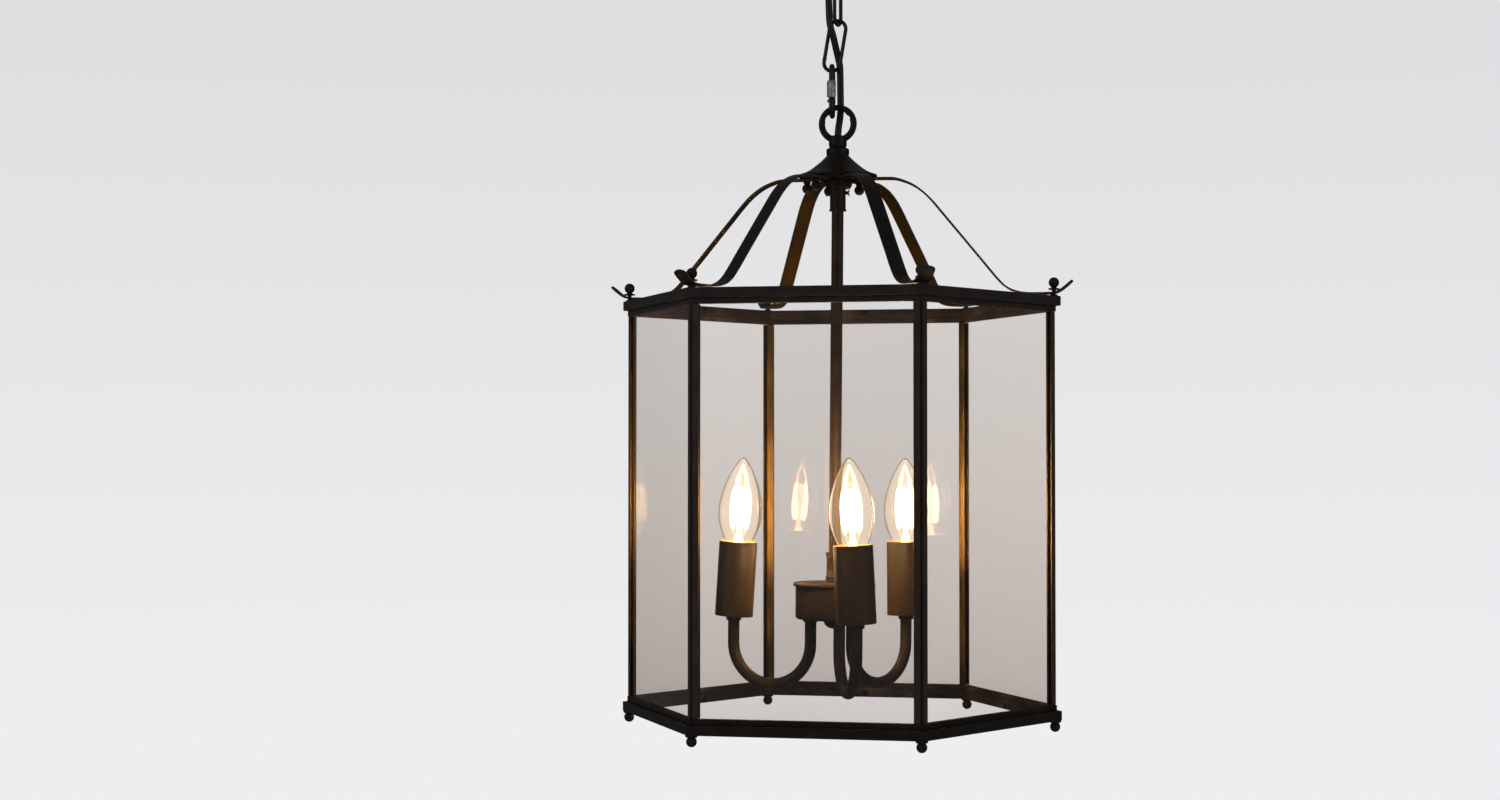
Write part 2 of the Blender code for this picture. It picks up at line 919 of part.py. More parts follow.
POST_FACE = 0.0085  # distance along the bisector from corner to the post's inner face
FLANGE_IN = 0.0066
FLANGE_OUT = 0.0064
POST_CORE = 0.0028
GROOVE = 0.0016


def make_corner_posts():
    """Two channels back to back, with a groove between them down the outer corner."""
    deep = 2 * LIP + SLOT
    bisector = polar(1, 60)  # in (along, inward) terms
    flanged = [
        (0.0035 * bisector.x, 0.0035 * bisector.y),
        (GROOVE, 0),
        (FLANGE_OUT, 0),
        (FLANGE_OUT, LIP),
        (POST_CORE, LIP),
        (POST_CORE, LIP + SLOT),
        (FLANGE_IN, LIP + SLOT),
        (FLANGE_IN, deep),
        (POST_FACE * bisector.x, POST_FACE * bisector.y),
    ]
    core = [
        (0.0036 * bisector.x, 0.0036 * bisector.y),
        (0.0018, LIP + GAP),
        (POST_CORE - 0.0001, LIP + GAP),
        (POST_CORE - 0.0001, LIP + SLOT - GAP),
        (0.00259, LIP + SLOT - GAP),
    ]
    channel_top = TOP_BAND_Z - BAND_TALL
    channel_low = LOW_BAND_Z + BAND_TALL
    post = prism(
        "post",
        corner_outline(flanged),
        channel_low + LIP_TALL + GAP,
        channel_top - LIP_TALL - GAP,
        "aged_bronze",
    )
    tenon = prism(
        "post_core",
        corner_outline(core),
        channel_low + LIP + GAP,
        channel_top - LIP - GAP,
        "aged_bronze",
    )
    boolean(post, tenon, "UNION")
    return copies(post, [(f"corner_post_{k + 1}", c) for k, c in enumerate(CORNERS)])


def make_glass_panes():
    low = LOW_BAND_Z + BAND_TALL + LIP + GAP
    high = TOP_BAND_Z - BAND_TALL - LIP - GAP
    size = (GLASS, PANEL_R - 2 * (POST_CORE + GAP), high - low)
    distance = PANEL_A - LIP - SLOT / 2
    panes = []
    for k, mid in enumerate(SIDES_MID):
        centre = polar(distance, mid, (low + high) / 2)
        panes.append(box(f"glass_pane_{k + 1}", size, centre, "clear_glass", mid))
    return panes


# ---------------------------------------------------------------- candle cluster
def make_centre_rod():
    return turned(
        "centre_rod",
        [
            (ROD_BORE, ROD_TOP),
            (ROD_R, ROD_TOP),
            (ROD_R, ROD_END),
            (ROD_BORE, ROD_END),
        ],
        14,
        "aged_bronze",
        hollow=True,
    )


def make_inner_wiring():
    """The cord's cores, down the rod to the connector block inside the pan."""
    top = CORD_ROUTE[-1][2] - GAP
    block_top = -0.5415
    run = tube(
        "inner_wiring",
        [(0, 0, top), (0, 0, (top + block_top) / 2), (0, 0, block_top - 0.002)],
        0.0023,
        "black_flex",
    )
    wires = as_mesh(run)
    block = box("connector", (0.016, 0.010, 0.007), (0, 0, block_top - 0.0035))
    return as_mesh(boolean(wires, block, "UNION"))


def make_rod_coupling():
    """Socket that the rod screws into, with a hollow spigot through the pan's lid."""
    return turned(
        "rod_coupling",
        [
            (0.0050, -0.5095),
            (0.0062, -0.5095),
            (0.0072, -0.5108),
            (0.0072, -0.5138),
            (0.0064, -0.5150),
            (0.0064, -0.5280),
            (0.0072, -0.5290),
            (0.0072, -0.5332),
            (0.0040, -0.5332),
            (0.0040, -0.5400),
            (0.0027, -0.5400),
            (0.0027, -0.5313),
            (0.0050, -0.5313),
        ],
        16,
        "aged_bronze",
        hollow=True,
    )


def make_pan():
    lid = turned(
        "pan_lid",
        [
            (0.0044, PAN_Z + 0.0035),
            (0.0312, PAN_Z + 0.0035),
            (0.0325, PAN_Z + 0.0025),
            (0.0325, PAN_Z + 0.0009),
            (0.0316, PAN_Z + 0.0003),
            (0.0044, PAN_Z + 0.0003),
        ],
        24,
        "aged_bronze",
        hollow=True,
    )
    floor = PAN_Z - PAN_DEEP
    wall = 0.0015
    body = turned(
        "pan_body",
        [
            (PAN_R, PAN_Z),
            (PAN_R, floor + 0.003),
            (PAN_R - 0.0009, floor + 0.0009),
            (PAN_R - 0.003, floor),
            (0.0029, floor),
            (0.0029, floor + wall),
            (PAN_R - 0.0034, floor + wall),
            (PAN_R - wall, floor + 0.0034),
            (PAN_R - wall, PAN_Z),
        ],
        24,
        "aged_bronze",
        hollow=True,
    )
    for direction in CANDLES.values():
        x, y, _ = polar(ARM_IN, direction)
        hole = cylinder(
            "arm_hole", ARM_R + GAP, floor - 0.002, floor + 0.004, x, y, 12
        )
        boolean(body, hole)
    body = as_mesh(body)
    nut = turned(
        "pan_nut",
        [
            (0, floor + 0.0110),
            (0.0025, floor + 0.0110),
            (0.0025, floor - GAP),
            (0.0085, floor - GAP),
            (0.0085, floor - 0.0018),
            (0.0072, floor - 0.0046),
            (0.0042, floor - 0.0068),
            (0, floor - 0.0076),
        ],
        14,
        "aged_bronze",
    )
    return lid, body, nut


def make_candle_arm(k):
    """U-shaped tube from the pan to a candle, with a collar at each end."""
    out, rise = CANDLE_OUT[k], CANDLE_RISE[k]
    bend = (out - ARM_IN) / 2
    middle = (out + ARM_IN) / 2
    bend_z = ARM_LOW_Z + bend
    floor = PAN_Z - PAN_DEEP
    top = SLEEVE_Z + rise
    collar = 0.0061 / ARM_R
    inner_leg = [
        (floor + 0.006, 1.0),
        (floor - 0.0002, 1.0),
        (floor - 0.0004, collar),
        (floor - 0.0026, collar),
        (floor - 0.0028, 1.0),
        (bend_z, 1.0),
    ]
    outer_leg = [
        (bend_z, 1.0),
        (top - 0.0034, 1.0),
        (top - 0.0032, collar),
        (top - 0.0008, collar),
        (top - 0.0006, 1.0),
        (top + 0.0018, 1.0),
    ]
    line = [(ARM_IN, 0, z) for z, _ in inner_leg]
    swell = [s for _, s in inner_leg]
    for i in range(1, 12):
        angle = math.pi * i / 12
        line.append((middle - bend * math.cos(angle), 0, bend_z - bend * math.sin(angle)))
        swell.append(1.0)
    line += [(out, 0, z) for z, _ in outer_leg]
    swell += [s for _, s in outer_leg]
    arm = tube(f"candle_arm_{k}", line, ARM_R, "aged_bronze", swell=swell, turn=CANDLES[k])
    return as_mesh(arm)


def make_candle(k):
    """Sleeve, lampholder and bulb, on an empty at the foot of the sleeve."""
    at = polar(CANDLE_OUT[k], CANDLES[k], SLEEVE_Z + CANDLE_RISE[k])
    foot = pivot(f"pivot_candle_{k}", at)
    about_x, about_y = CANDLE_LEAN[k]
    foot.rotation_euler = (math.radians(about_x), math.radians(about_y), 0)
    sleeve = turned(
        f"candle_sleeve_{k}",
        [
            (SLEEVE_R - 0.001, SLEEVE_TALL),
            (SLEEVE_R - 0.0003, SLEEVE_TALL),
            (SLEEVE_R, SLEEVE_TALL - 0.0003),
            (SLEEVE_R, 0),
            (SLEEVE_R - 0.001, 0),
        ],
        20,
        "sleeve_brown",
        hollow=True,
    )
    holder = turned(
        f"lampholder_{k}",
        [
            (0, 0.0280),
            (0.0076, 0.0280),
            (0.0076, SLEEVE_TALL - 0.0056),
            (0.0120, SLEEVE_TALL - 0.0056),
            (0.0120, 0.0066),
            (0.0090, 0.0026),
            (0, 0.0026),
        ],
        12,
        "holder_white",
    )
    glass = [
        (0, 0.0685),
        (0.0030, 0.0666),
        (0.0058, 0.0621),
        (0.0090, 0.0567),
        (0.0115, 0.0512),
        (0.0136, 0.0458),
        (0.0153, 0.0403),
        (0.0165, 0.0350),
        (0.0173, 0.0294),
        (0.0175, 0.0240),
        (0.0170, 0.0186),
        (0.0157, 0.0132),
        (0.0138, 0.0078),
        (0.0115, 0.0025),
        (0.0090, -0.0015),
        (0.0070, -0.0026),
        (0.0070, -0.0262),
        (0.0040, -0.0290),
        (0, -0.0290),
    ]
    bulb = turned(
        f"bulb_{k}",
        [(r, z + SLEEVE_TALL - BULB_SINK[k]) for r, z in glass],
        14,
        "bulb_glass",
    )
    bpy.context.view_layer.update()
    for piece in (sleeve, holder, bulb):
        piece.parent = foot
    return foot


# ---------------------------------------------------------------- assembly
def main():
    make_hook_plate()
    make_ceiling_rose()
    make_rose_nut()
    make_cord_grip()
    make_terminal_block()
    make_supply_cord()

    hook = pivot("pivot_upper_link", (0, 0, LEVEL["hook_low"]))
    attach(hook, make_chain_link_upper())
    upper = pivot("pivot_lower_link", (0, 0, LEVEL["upper_low"]), hook)
    attach(upper, make_chain_link_lower())
    lower = pivot("pivot_quick_link", (LEVEL["side"], 0, LEVEL["lower_low"]), upper)
    attach(lower, make_quick_link(), make_quick_link_nut())
    lantern = pivot("pivot_lantern", (LEVEL["side"], 0, LEVEL["quick_low"]), lower)

    cage = [make_hang_loop(), make_bell_cap(), make_strap_hub(), make_rod_collar()]
    cage += make_straps() + make_corner_finials()
    cage += [make_top_ring(), make_bottom_ring()]
    cage += make_corner_posts() + make_glass_panes()
    cage += [
        make_thumb_screw("thumb_screw_right", 0),
        make_thumb_screw("thumb_screw_left", 180),
    ]
    attach(lantern, *cage)

    rod = pivot("pivot_rod", (0, 0, SCREW_Z), lantern)
    attach(rod, make_centre_rod(), make_inner_wiring())
    cluster = pivot("pivot_cluster", (0, 0, ROD_END), rod)
    attach(cluster, make_rod_coupling(), *make_pan())
    for k in CANDLES:
        attach(cluster, make_candle_arm(k), make_candle(k))
    swing = polar(1, ROD_LEAN_TO - 90)
    lean = Matrix.Rotation(math.radians(ROD_LEAN), 3, swing)
    rod.rotation_euler = lean.to_euler()


clear_scene()
LANTERN = new_collection("hanging_lantern")
CUTTERS = new_collection("cutters")
MATERIALS = make_finishes()
LEVEL = chain_levels()
main()
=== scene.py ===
"""Looks of the hanging lantern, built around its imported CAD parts.

Metres, +Z up. The origin is the centre of the ceiling plate's upper face, so every height
is negative. The cage's corners lie at 0, 60, 120, ... degrees about Z.
"""

import math

import bmesh
import bpy
from mathutils import Matrix, Vector


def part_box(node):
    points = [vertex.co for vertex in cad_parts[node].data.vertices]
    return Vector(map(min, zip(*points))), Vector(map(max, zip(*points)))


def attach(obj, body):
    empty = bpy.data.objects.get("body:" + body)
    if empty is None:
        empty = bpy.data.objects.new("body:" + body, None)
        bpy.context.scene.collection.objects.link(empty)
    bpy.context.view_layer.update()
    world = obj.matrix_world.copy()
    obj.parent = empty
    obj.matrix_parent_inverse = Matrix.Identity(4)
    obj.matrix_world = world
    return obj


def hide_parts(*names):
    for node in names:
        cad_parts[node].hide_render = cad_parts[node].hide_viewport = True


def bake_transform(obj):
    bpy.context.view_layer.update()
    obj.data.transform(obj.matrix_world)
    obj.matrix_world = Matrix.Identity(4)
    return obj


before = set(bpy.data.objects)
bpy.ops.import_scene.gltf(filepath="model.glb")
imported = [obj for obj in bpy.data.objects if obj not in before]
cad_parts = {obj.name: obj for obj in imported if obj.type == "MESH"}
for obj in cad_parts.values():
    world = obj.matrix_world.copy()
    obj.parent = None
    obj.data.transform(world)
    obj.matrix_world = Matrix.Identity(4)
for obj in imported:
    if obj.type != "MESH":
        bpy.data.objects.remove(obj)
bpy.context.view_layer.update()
SCENE = bpy.context.scene
COS30 = math.cos(math.radians(30))

# ---------------------------------------------------------------- camera
AXIS_DISTANCE = 1.842  # from the camera to the lantern's axis
CAMERA_AZIMUTH = math.radians(9.3)
CAMERA_HEIGHT = -0.430
TILT_UP, TURN_LEFT = 1.253, 2.161  # degrees, from level and from the axis
SENSOR, FOCAL = 36, 55.968  # mm

lens = bpy.data.cameras.new("camera")
lens.sensor_width = SENSOR
lens.lens = FOCAL
lens.clip_start, lens.clip_end = 0.01, 50
camera = bpy.data.objects.new("camera", lens)
camera.location = (
    AXIS_DISTANCE * math.sin(CAMERA_AZIMUTH),
    -AXIS_DISTANCE * math.cos(CAMERA_AZIMUTH),
    CAMERA_HEIGHT,
)
camera.rotation_euler = (
    math.radians(90 + TILT_UP),
    0,
    CAMERA_AZIMUTH + math.radians(TURN_LEFT),
)
SCENE.collection.objects.link(camera)
SCENE.camera = camera
SCENE.view_settings.view_transform = "Standard"


# ---------------------------------------------------------------- shapes
def polar(radius, degrees, z=0.0):
    angle = math.radians(degrees)
    return Vector((radius * math.cos(angle), radius * math.sin(angle), z))


def new_object(name, mesh):
    made = bpy.data.objects.new(name, mesh)
    SCENE.collection.objects.link(made)
    return made


def smooth(mesh, sharp):
    """Smooth shading, with a crease where faces meet at more than sharp degrees."""
    mesh.shade_smooth()
    mesh.set_sharp_from_angle(angle=math.radians(sharp))


def mesh_from(name, points, faces, sharp=35):
    """An object from points and faces, with every face turned outward."""
    mesh = bpy.data.meshes.new(name)
    mesh.from_pydata([tuple(p) for p in points], [], faces)
    shape = bmesh.new()
    shape.from_mesh(mesh)
    bmesh.ops.recalc_face_normals(shape, faces=shape.faces)
    shape.to_mesh(mesh)
    shape.free()
    smooth(mesh, sharp)
    return new_object(name, mesh)


def fillet(outline, radius, closed=False, steps=3):
    """The outline of 2D points with each corner rounded, less where its sides are short."""
    count = len(outline)
    points = [Vector(p) for p in outline]
    out = []
    for i, point in enumerate(points):
        if not closed and i in (0, count - 1):
            out.append(point)
            continue
        before = points[i - 1] - point
        after = points[(i + 1) % count] - point
        if before.length < 1e-7 or after.length < 1e-7:
            continue
        turn = math.pi - before.angle(after)
        if turn < math.radians(12):
            out.append(point)
            continue
        reach = radius * math.tan(turn / 2)
        reach = min(reach, 0.45 * before.length, 0.45 * after.length)
        start = point + before.normalized() * reach
        end = point + after.normalized() * reach
        for k in range(steps + 1):
            t = k / steps
            out.append(start * (1 - t) ** 2 + point * 2 * t * (1 - t) + end * t * t)
    return out


def lathe(name, profile, steps=48, closed=False, at=(0, 0, 0), sharp=35):
    """A profile of (radius, height) turned about a vertical axis through a point."""
    points, rings, faces = [], [], []
    for r, z in profile:
        if r < 1e-7:
            rings.append([len(points)])
            points.append(Vector((0, 0, z)))
            continue
        rings.append([len(points) + k for k in range(steps)])
        points += [polar(r, 360 * k / steps, z) for k in range(steps)]
    pairs = list(zip(rings, rings[1:]))
    if closed:
        pairs.append((rings[-1], rings[0]))
    for a, b in pairs:
        for k in range(steps):
            n = (k + 1) % steps
            if len(a) == 1:
                faces.append((a[0], b[k], b[n]))
            elif len(b) == 1:
                faces.append((a[k], b[0], a[n]))
            else:
                faces.append((a[k], b[k], b[n], a[n]))
    made = mesh_from(name, points, faces, sharp)
    made.location = at
    return made


def turned(name, outline, rounding, steps, at=(0, 0, 0), bends=3):
    """A closed outline with rounded corners, turned about a vertical axis."""
    rounded = fillet(outline, rounding, closed=True, steps=bends)
    return lathe(name, rounded, steps, closed=True, at=at)


def frames_along(line, closed):
    """Two directions across the line at each point, carried along without twist."""
    count = len(line)
    tangents = []
    for i in range(count):
        a = line[i - 1] if closed or i else line[0]
        b = line[(i + 1) % count] if closed or i < count - 1 else line[-1]
        tangents.append((b - a).normalized())
    side = tangents[0].orthogonal().normalized()
    frames = []
    for tangent in tangents:
        side = (side - tangent * side.dot(tangent)).normalized()
        frames.append((side, tangent.cross(side)))
    return frames


def sweep(name, line, radius, closed=False, sides=16, swell=None, sharp=50):
    """A round bar along the line; swell multiplies the radius at each point."""
    line = [Vector(p) for p in line]
    points, faces = [], []
    for i, (point, (a, b)) in enumerate(zip(line, frames_along(line, closed))):
        r = radius * (swell[i] if swell else 1.0)
        for k in range(sides):
            angle = math.tau * k / sides
            points.append(point + a * r * math.cos(angle) + b * r * math.sin(angle))
    end = (len(line) - 1) * sides
    shift = 0
    if closed:  # the frame comes back turned, so the last ring joins at the nearest side
        lead = [(points[k] - points[end]).length for k in range(sides)]
        shift = lead.index(min(lead))
    for i in range(len(line) if closed else len(line) - 1):
        m = (i + 1) % len(line)
        more = shift if m == 0 else 0
        a, b = i * sides, m * sides
        for k in range(sides):
            n = (k + 1) % sides
            faces.append((a + k, b + (k + more) % sides, b + (n + more) % sides, a + n))
    if not closed:
        faces.append(tuple(range(sides)))
        faces.append(tuple(end + k for k in range(sides)))
    return mesh_from(name, points, faces, sharp)


def slab(name, outline, low, high, place=None):
    """A flat outline raised from low to high, each point taken through place."""
    place = place or (lambda x, y, z: Vector((x, y, z)))
    count = len(outline)
    points = [place(x, y, low) for x, y in outline]
    points += [place(x, y, high) for x, y in outline]
    faces = [tuple(range(count)), tuple(range(count, 2 * count))]
    for k in range(count):
        n = (k + 1) % count
        faces.append((k, n, count + n, count + k))
    return mesh_from(name, points, faces)


def join(name, pieces):
    """One object from several, which are used up."""
    shape = bmesh.new()
    bpy.context.view_layer.update()
    for piece in pieces:
        mesh = piece.data.copy()
        mesh.transform(piece.matrix_world)
        shape.from_mesh(mesh)
        bpy.data.objects.remove(piece, do_unlink=True)
    mesh = bpy.data.meshes.new(name)
    shape.to_mesh(mesh)
    shape.free()
    smooth(mesh, 35)
    return new_object(name, mesh)


def moved(made, matrix):
    made.data.transform(matrix)
    return made


def spun(degrees, at=(0, 0, 0)):
    return Matrix.Translation(at) @ Matrix.Rotation(math.radians(degrees), 4, "Z")


def bevelled(made, width, segments=2):
    """The object with its sharp edges rounded, as a plain mesh."""
    bevel = made.modifiers.new("bevel", "BEVEL")
    bevel.width = width
    bevel.segments = segments
    bevel.limit_method = "ANGLE"
    bevel.angle_limit = math.radians(35)
    bpy.context.view_layer.update()
    depsgraph = bpy.context.evaluated_depsgraph_get()
    mesh = bpy.data.meshes.new_from_object(made.evaluated_get(depsgraph))
    made.modifiers.clear()
    made.data = mesh
    smooth(mesh, 50)
    return made


def smooth_line(points, step):
    """Points about a step apart on a Catmull-Rom curve through the given ones."""
    given = [Vector(p) for p in points]
    ends = [given[0] * 2 - given[1]] + given + [given[-1] * 2 - given[-2]]
    line = []
    for i in range(1, len(ends) - 2):
        a, b, c, d = ends[i - 1 : i + 3]
        count = max(1, round((c - b).length / step))
        for k in range(count):
            t = k / count
            bent = (2 * a - 5 * b + 4 * c - d) * t * t + (3 * b - a - 3 * c + d) * t**3
            line.append(0.5 * (2 * b + (c - a) * t + bent))
    return line + [given[-1]]


def ball(radius, centre, latitudes):
    """Profile points on a ball, one for each latitude in degrees."""
    angles = [math.radians(a) for a in latitudes]
    return [(radius * math.cos(a), centre + radius * math.sin(a)) for a in angles]


# ---------------------------------------------------------------- materials
TWO_TONES = (0.30, 0.70)  # places of a metal's colours in its blotches
THREE_TONES = (0.30, 0.62, 0.80)


def put(node, values):
    for name, value in values.items():
        node.inputs[name].default_value = value


def add_node(tree, kind, values=None, **settings):
    made = tree.nodes.new("ShaderNode" + kind)
    for name, value in settings.items():
        setattr(made, name, value)
    put(made, values or {})
    return made


def ramp(tree, source, stops):
    made = add_node(tree, "ValToRGB")
    elements = made.color_ramp.elements
    while len(elements) < len(stops):
        elements.new(0.5)
    for element, (position, colour) in zip(elements, stops):
        element.position = position
        element.color = (*colour, 1.0)
    tree.links.new(source, made.inputs["Fac"])
    return made.outputs["Color"]


def noise(tree, scale, detail, stretch=(1, 1, 1)):
    where = add_node(tree, "TexCoord")
    mapping = add_node(tree, "Mapping", {"Scale": stretch})
    made = add_node(tree, "TexNoise", {"Scale": scale, "Detail": detail})
    tree.links.new(where.outputs["Object"], mapping.inputs["Vector"])
    tree.links.new(mapping.outputs["Vector"], made.inputs["Vector"])
    return made.outputs["Fac"]


def height_in(tree, space):
    """The Z of each point in the object's Generated or Object coordinates."""
    where = add_node(tree, "TexCoord")
    split = add_node(tree, "SeparateXYZ")
    tree.links.new(where.outputs[space], split.inputs[0])
    return split.outputs["Z"]


def surface(name):
    """A new material, its node tree and its shader."""
    made = bpy.data.materials.new(name)
    made.use_nodes = True
    return made, made.node_tree, made.node_tree.nodes["Principled BSDF"]


def bump(tree, shader, source, strength, distance):
    made = add_node(tree, "Bump", {"Strength": strength, "Distance": distance})
    tree.links.new(source, made.inputs["Height"])
    tree.links.new(made.outputs["Normal"], shader.inputs["Normal"])


def spread(tree, source, low, high):
    """The source's middle range spread between two numbers."""
    ends = {"From Min": 0.3, "From Max": 0.7, "To Min": low, "To Max": high}
    made = add_node(tree, "MapRange", ends)
    tree.links.new(source, made.inputs["Value"])
    return made.outputs["Result"]


def metal(name, colours, rough, metallic, at=THREE_TONES, scale=60, grain=900,
          stretch=(1, 1, 1), height=0.00004, ior=1.5):
    """Patinated metal: blotches of colour, uneven gloss and a fine grain."""
    made, tree, shader = surface(name)
    blotch = noise(tree, scale, 6.0, stretch)
    tree.links.new(ramp(tree, blotch, list(zip(at, colours))), shader.inputs["Base Color"])
    fine = noise(tree, grain, 3.0, stretch)
    tree.links.new(spread(tree, blotch, *rough), shader.inputs["Roughness"])
    put(shader, {"Metallic": metallic, "IOR": ior})
    bump(tree, shader, fine, 0.35, height)
    return made


def glass(name, tint, ior, glow=None):
    """Clear glass, tinted from its lower edge to its upper one, that lets the lamps'
    light through to what is behind it. glow is a colour and a strength: a painted
    glow of lamp light in the glass."""
    made, tree, shader = surface(name)
    colour = ramp(tree, height_in(tree, "Generated"), tint)
    tree.links.new(colour, shader.inputs["Base Color"])
    put(shader, {"Transmission Weight": 1.0, "Roughness": 0.0, "IOR": ior})
    if glow:
        put(shader, {"Emission Color": (*glow[0], 1.0), "Emission Strength": glow[1]})
    through = add_node(tree, "BsdfTransparent", {"Color": (0.95, 0.94, 0.93, 1.0)})
    path = add_node(tree, "LightPath")
    mix = add_node(tree, "MixShader")
    tree.links.new(path.outputs["Is Shadow Ray"], mix.inputs[0])
    tree.links.new(shader.outputs[0], mix.inputs[1])
    tree.links.new(through.outputs[0], mix.inputs[2])
    tree.links.new(mix.outputs[0], tree.nodes["Material Output"].inputs["Surface"])
    return made


def glowing(name, colour, strength):
    made, tree, shader = surface(name)
    pale = tuple(min(1.0, c * 1.08) for c in colour)
    tone = ramp(tree, noise(tree, 900, 2.0), [(0.35, colour), (0.65, pale)])
    tree.links.new(tone, shader.inputs["Base Color"])
    put(shader, {"Emission Color": (*colour, 1.0), "Emission Strength": strength})
    put(shader, {"Roughness": 0.6})
    return made


MAT_FRAME = metal(
    "frame_bronze",
    [(0.0064, 0.0052, 0.0045), (0.0094, 0.0074, 0.0060), (0.016, 0.0115, 0.0084)],
    (0.36, 0.50),
    0.10,
    ior=1.17,
)
MAT_RAIL = metal(
    "rail_bronze",
    [(0.0105, 0.0088, 0.0078), (0.0140, 0.0114, 0.0098), (0.020, 0.0155, 0.0125)],
    (0.36, 0.50),
    0.10,
    ior=1.20,
)
MAT_POST = metal(
    "post_bronze",
    [(0.0160, 0.0112, 0.0082), (0.0225, 0.0152, 0.0108), (0.032, 0.0215, 0.0150)],
    (0.36, 0.50),
    0.10,
    ior=1.20,
)
MAT_INSIDE_RAIL = metal(
    "aged_rail_inside",
    [(0.0085, 0.0062, 0.0050), (0.0135, 0.0100, 0.0080), (0.046, 0.0370, 0.030)],
    (0.28, 0.42),
    0.25,
    at=(0.28, 0.56, 0.76),
    grain=700,
    stretch=(0.5, 0.5, 1),
    height=0.00005,
    ior=1.25,
)


def aged_and_lamp_lit_inside():
    """Bare, patinated metal inside the posts, with painted lamp light: brighter at mid-height
    by the lamps, darker towards their two ends.
    """
    made = metal(
        "aged_and_lamp_lit_inside",
        [(0.060, 0.0365, 0.0130), (0.098, 0.0605, 0.0205), (0.160, 0.1000, 0.0330)],
        (0.30, 0.42),
        1.0,
        at=(0.28, 0.52, 0.76),
        scale=70,
        grain=700,
        stretch=(1, 1, 0.35),
        height=0.00005,
        ior=1.3,
    )
    tree = made.node_tree
    colour = tree.nodes["Principled BSDF"].inputs["Base Color"]
    worn = colour.links[0].from_socket
    # Painted lamp light: a ramp over height lightens the inner faces at the lamps' height and
    # darkens them towards both ends.
    dark, half_dark, lit_middle = (0.66, 0.68, 0.72), (0.72, 0.73, 0.75), (1, 1, 1)
    stops = [(0.00, dark), (0.26, half_dark), (0.42, lit_middle)]
    stops += [(0.54, lit_middle), (0.70, half_dark), (1.00, dark)]
    painted_lamp_light = ramp(tree, height_in(tree, "Generated"), stops)
    mix = add_node(tree, "Mix", {"Factor": 1.0}, data_type="RGBA", blend_type="MULTIPLY")
    tree.links.new(worn, mix.inputs[6])
    tree.links.new(painted_lamp_light, mix.inputs[7])
    tree.links.new(mix.outputs[2], colour)
    return made


MAT_INSIDE = aged_and_lamp_lit_inside()
# Painted lamp light: the straps' undersides above the cage's open top take a warm orange,
# standing in for the lamps' light from below.
MAT_STRAP_UNDER = metal(
    "strap_under",
    [(0.0085, 0.0043, 0.0008), (0.0125, 0.0063, 0.0012)],
    (0.46, 0.56),
    0.05,
    at=TWO_TONES,
    scale=45,
    stretch=(0.6, 0.6, 0.6),
    ior=1.08,
)
# Painted light: the straps' side faces take a lighter brown, standing in for the light falling
# on them from one side.
MAT_STRAP_EDGE = metal(
    "strap_edge",
    [(0.026, 0.0180, 0.0130), (0.036, 0.0250, 0.0180)],
    (0.60, 0.70),
    0.0,
    at=TWO_TONES,
    ior=1.05,
)
MAT_CHAIN = metal(
    "chain_black",
    [(0.0045, 0.0043, 0.0040), (0.010, 0.0088, 0.0076)],
    (0.34, 0.46),
    0.12,
    at=(0.32, 0.70),
    scale=220,
    ior=1.35,
)
# Black screw heads; the same near-black also paints the shade inside the bell and under the
# hub disc.
MAT_SCREW_AND_SHADE = metal(
    "screw_black_and_painted_shade",
    [(0.0018, 0.0017, 0.0016), (0.0036, 0.0032, 0.0028)],
    (0.50, 0.60),
    0.05,
    at=TWO_TONES,
    scale=300,
    ior=1.1,
)
MAT_STEEL = metal(
    "worn_nut",
    [(0.040, 0.039, 0.038), (0.120, 0.116, 0.114), (0.27, 0.265, 0.262)],
    (0.30, 0.50),
    0.3,
    at=(0.30, 0.50, 0.70),
    scale=420,
    stretch=(1, 1, 0.5),
)
MAT_CLUSTER = metal(
    "cluster_bronze",
    [(0.0098, 0.0060, 0.0034), (0.0158, 0.0095, 0.0051), (0.026, 0.0152, 0.0078)],
    (0.40, 0.52),
    0.15,
    at=(0.30, 0.60, 0.80),
    scale=80,
    ior=1.22,
)
MAT_CAP = metal(
    "lamp_cap",
    [(0.50, 0.47, 0.42), (0.72, 0.69, 0.64)],
    (0.22, 0.35),
    1.0,
    at=TWO_TONES,
    scale=300,
)
# Pane tint, darker towards the lower edge.
PANE_TINT = [
    (0.00, (0.760, 0.712, 0.680)),
    (0.06, (0.815, 0.770, 0.739)),
    (0.27, (0.867, 0.823, 0.790)),
    (0.52, (0.918, 0.873, 0.835)),
    (0.76, (0.943, 0.913, 0.883)),
    (0.88, (0.957, 0.930, 0.901)),
    (1.00, (0.980, 0.953, 0.928)),
]
BULB_TINT = [(0.0, (1.0, 0.975, 0.93)), (1.0, (1.0, 0.985, 0.96))]
MAT_GLASS = glass("pane_glass", PANE_TINT, 1.58)
MAT_GLASS_SIDE = glass("side_pane_glass", PANE_TINT, 1.2)
# Painted glow: the bulb glass and the stem glass emit warm light, standing in for the lamps'
# light caught in them.
MAT_BULB = glass("bulb_glass", BULB_TINT, 1.22, ((1.0, 0.72, 0.44), 0.075))
MAT_STEM = glass("lamp_stem_glass", BULB_TINT, 1.3, ((1.0, 0.66, 0.30), 3.0))
MAT_FILAMENT = glowing("filament", (1.0, 0.67, 0.31), 570.0)
# Painted glow: the filaments' lead wires emit a dim warm light, though they are no lamp.
MAT_LEAD_GLOW = glowing("lead_wire_painted_glow", (1.0, 0.60, 0.24), 4.5)


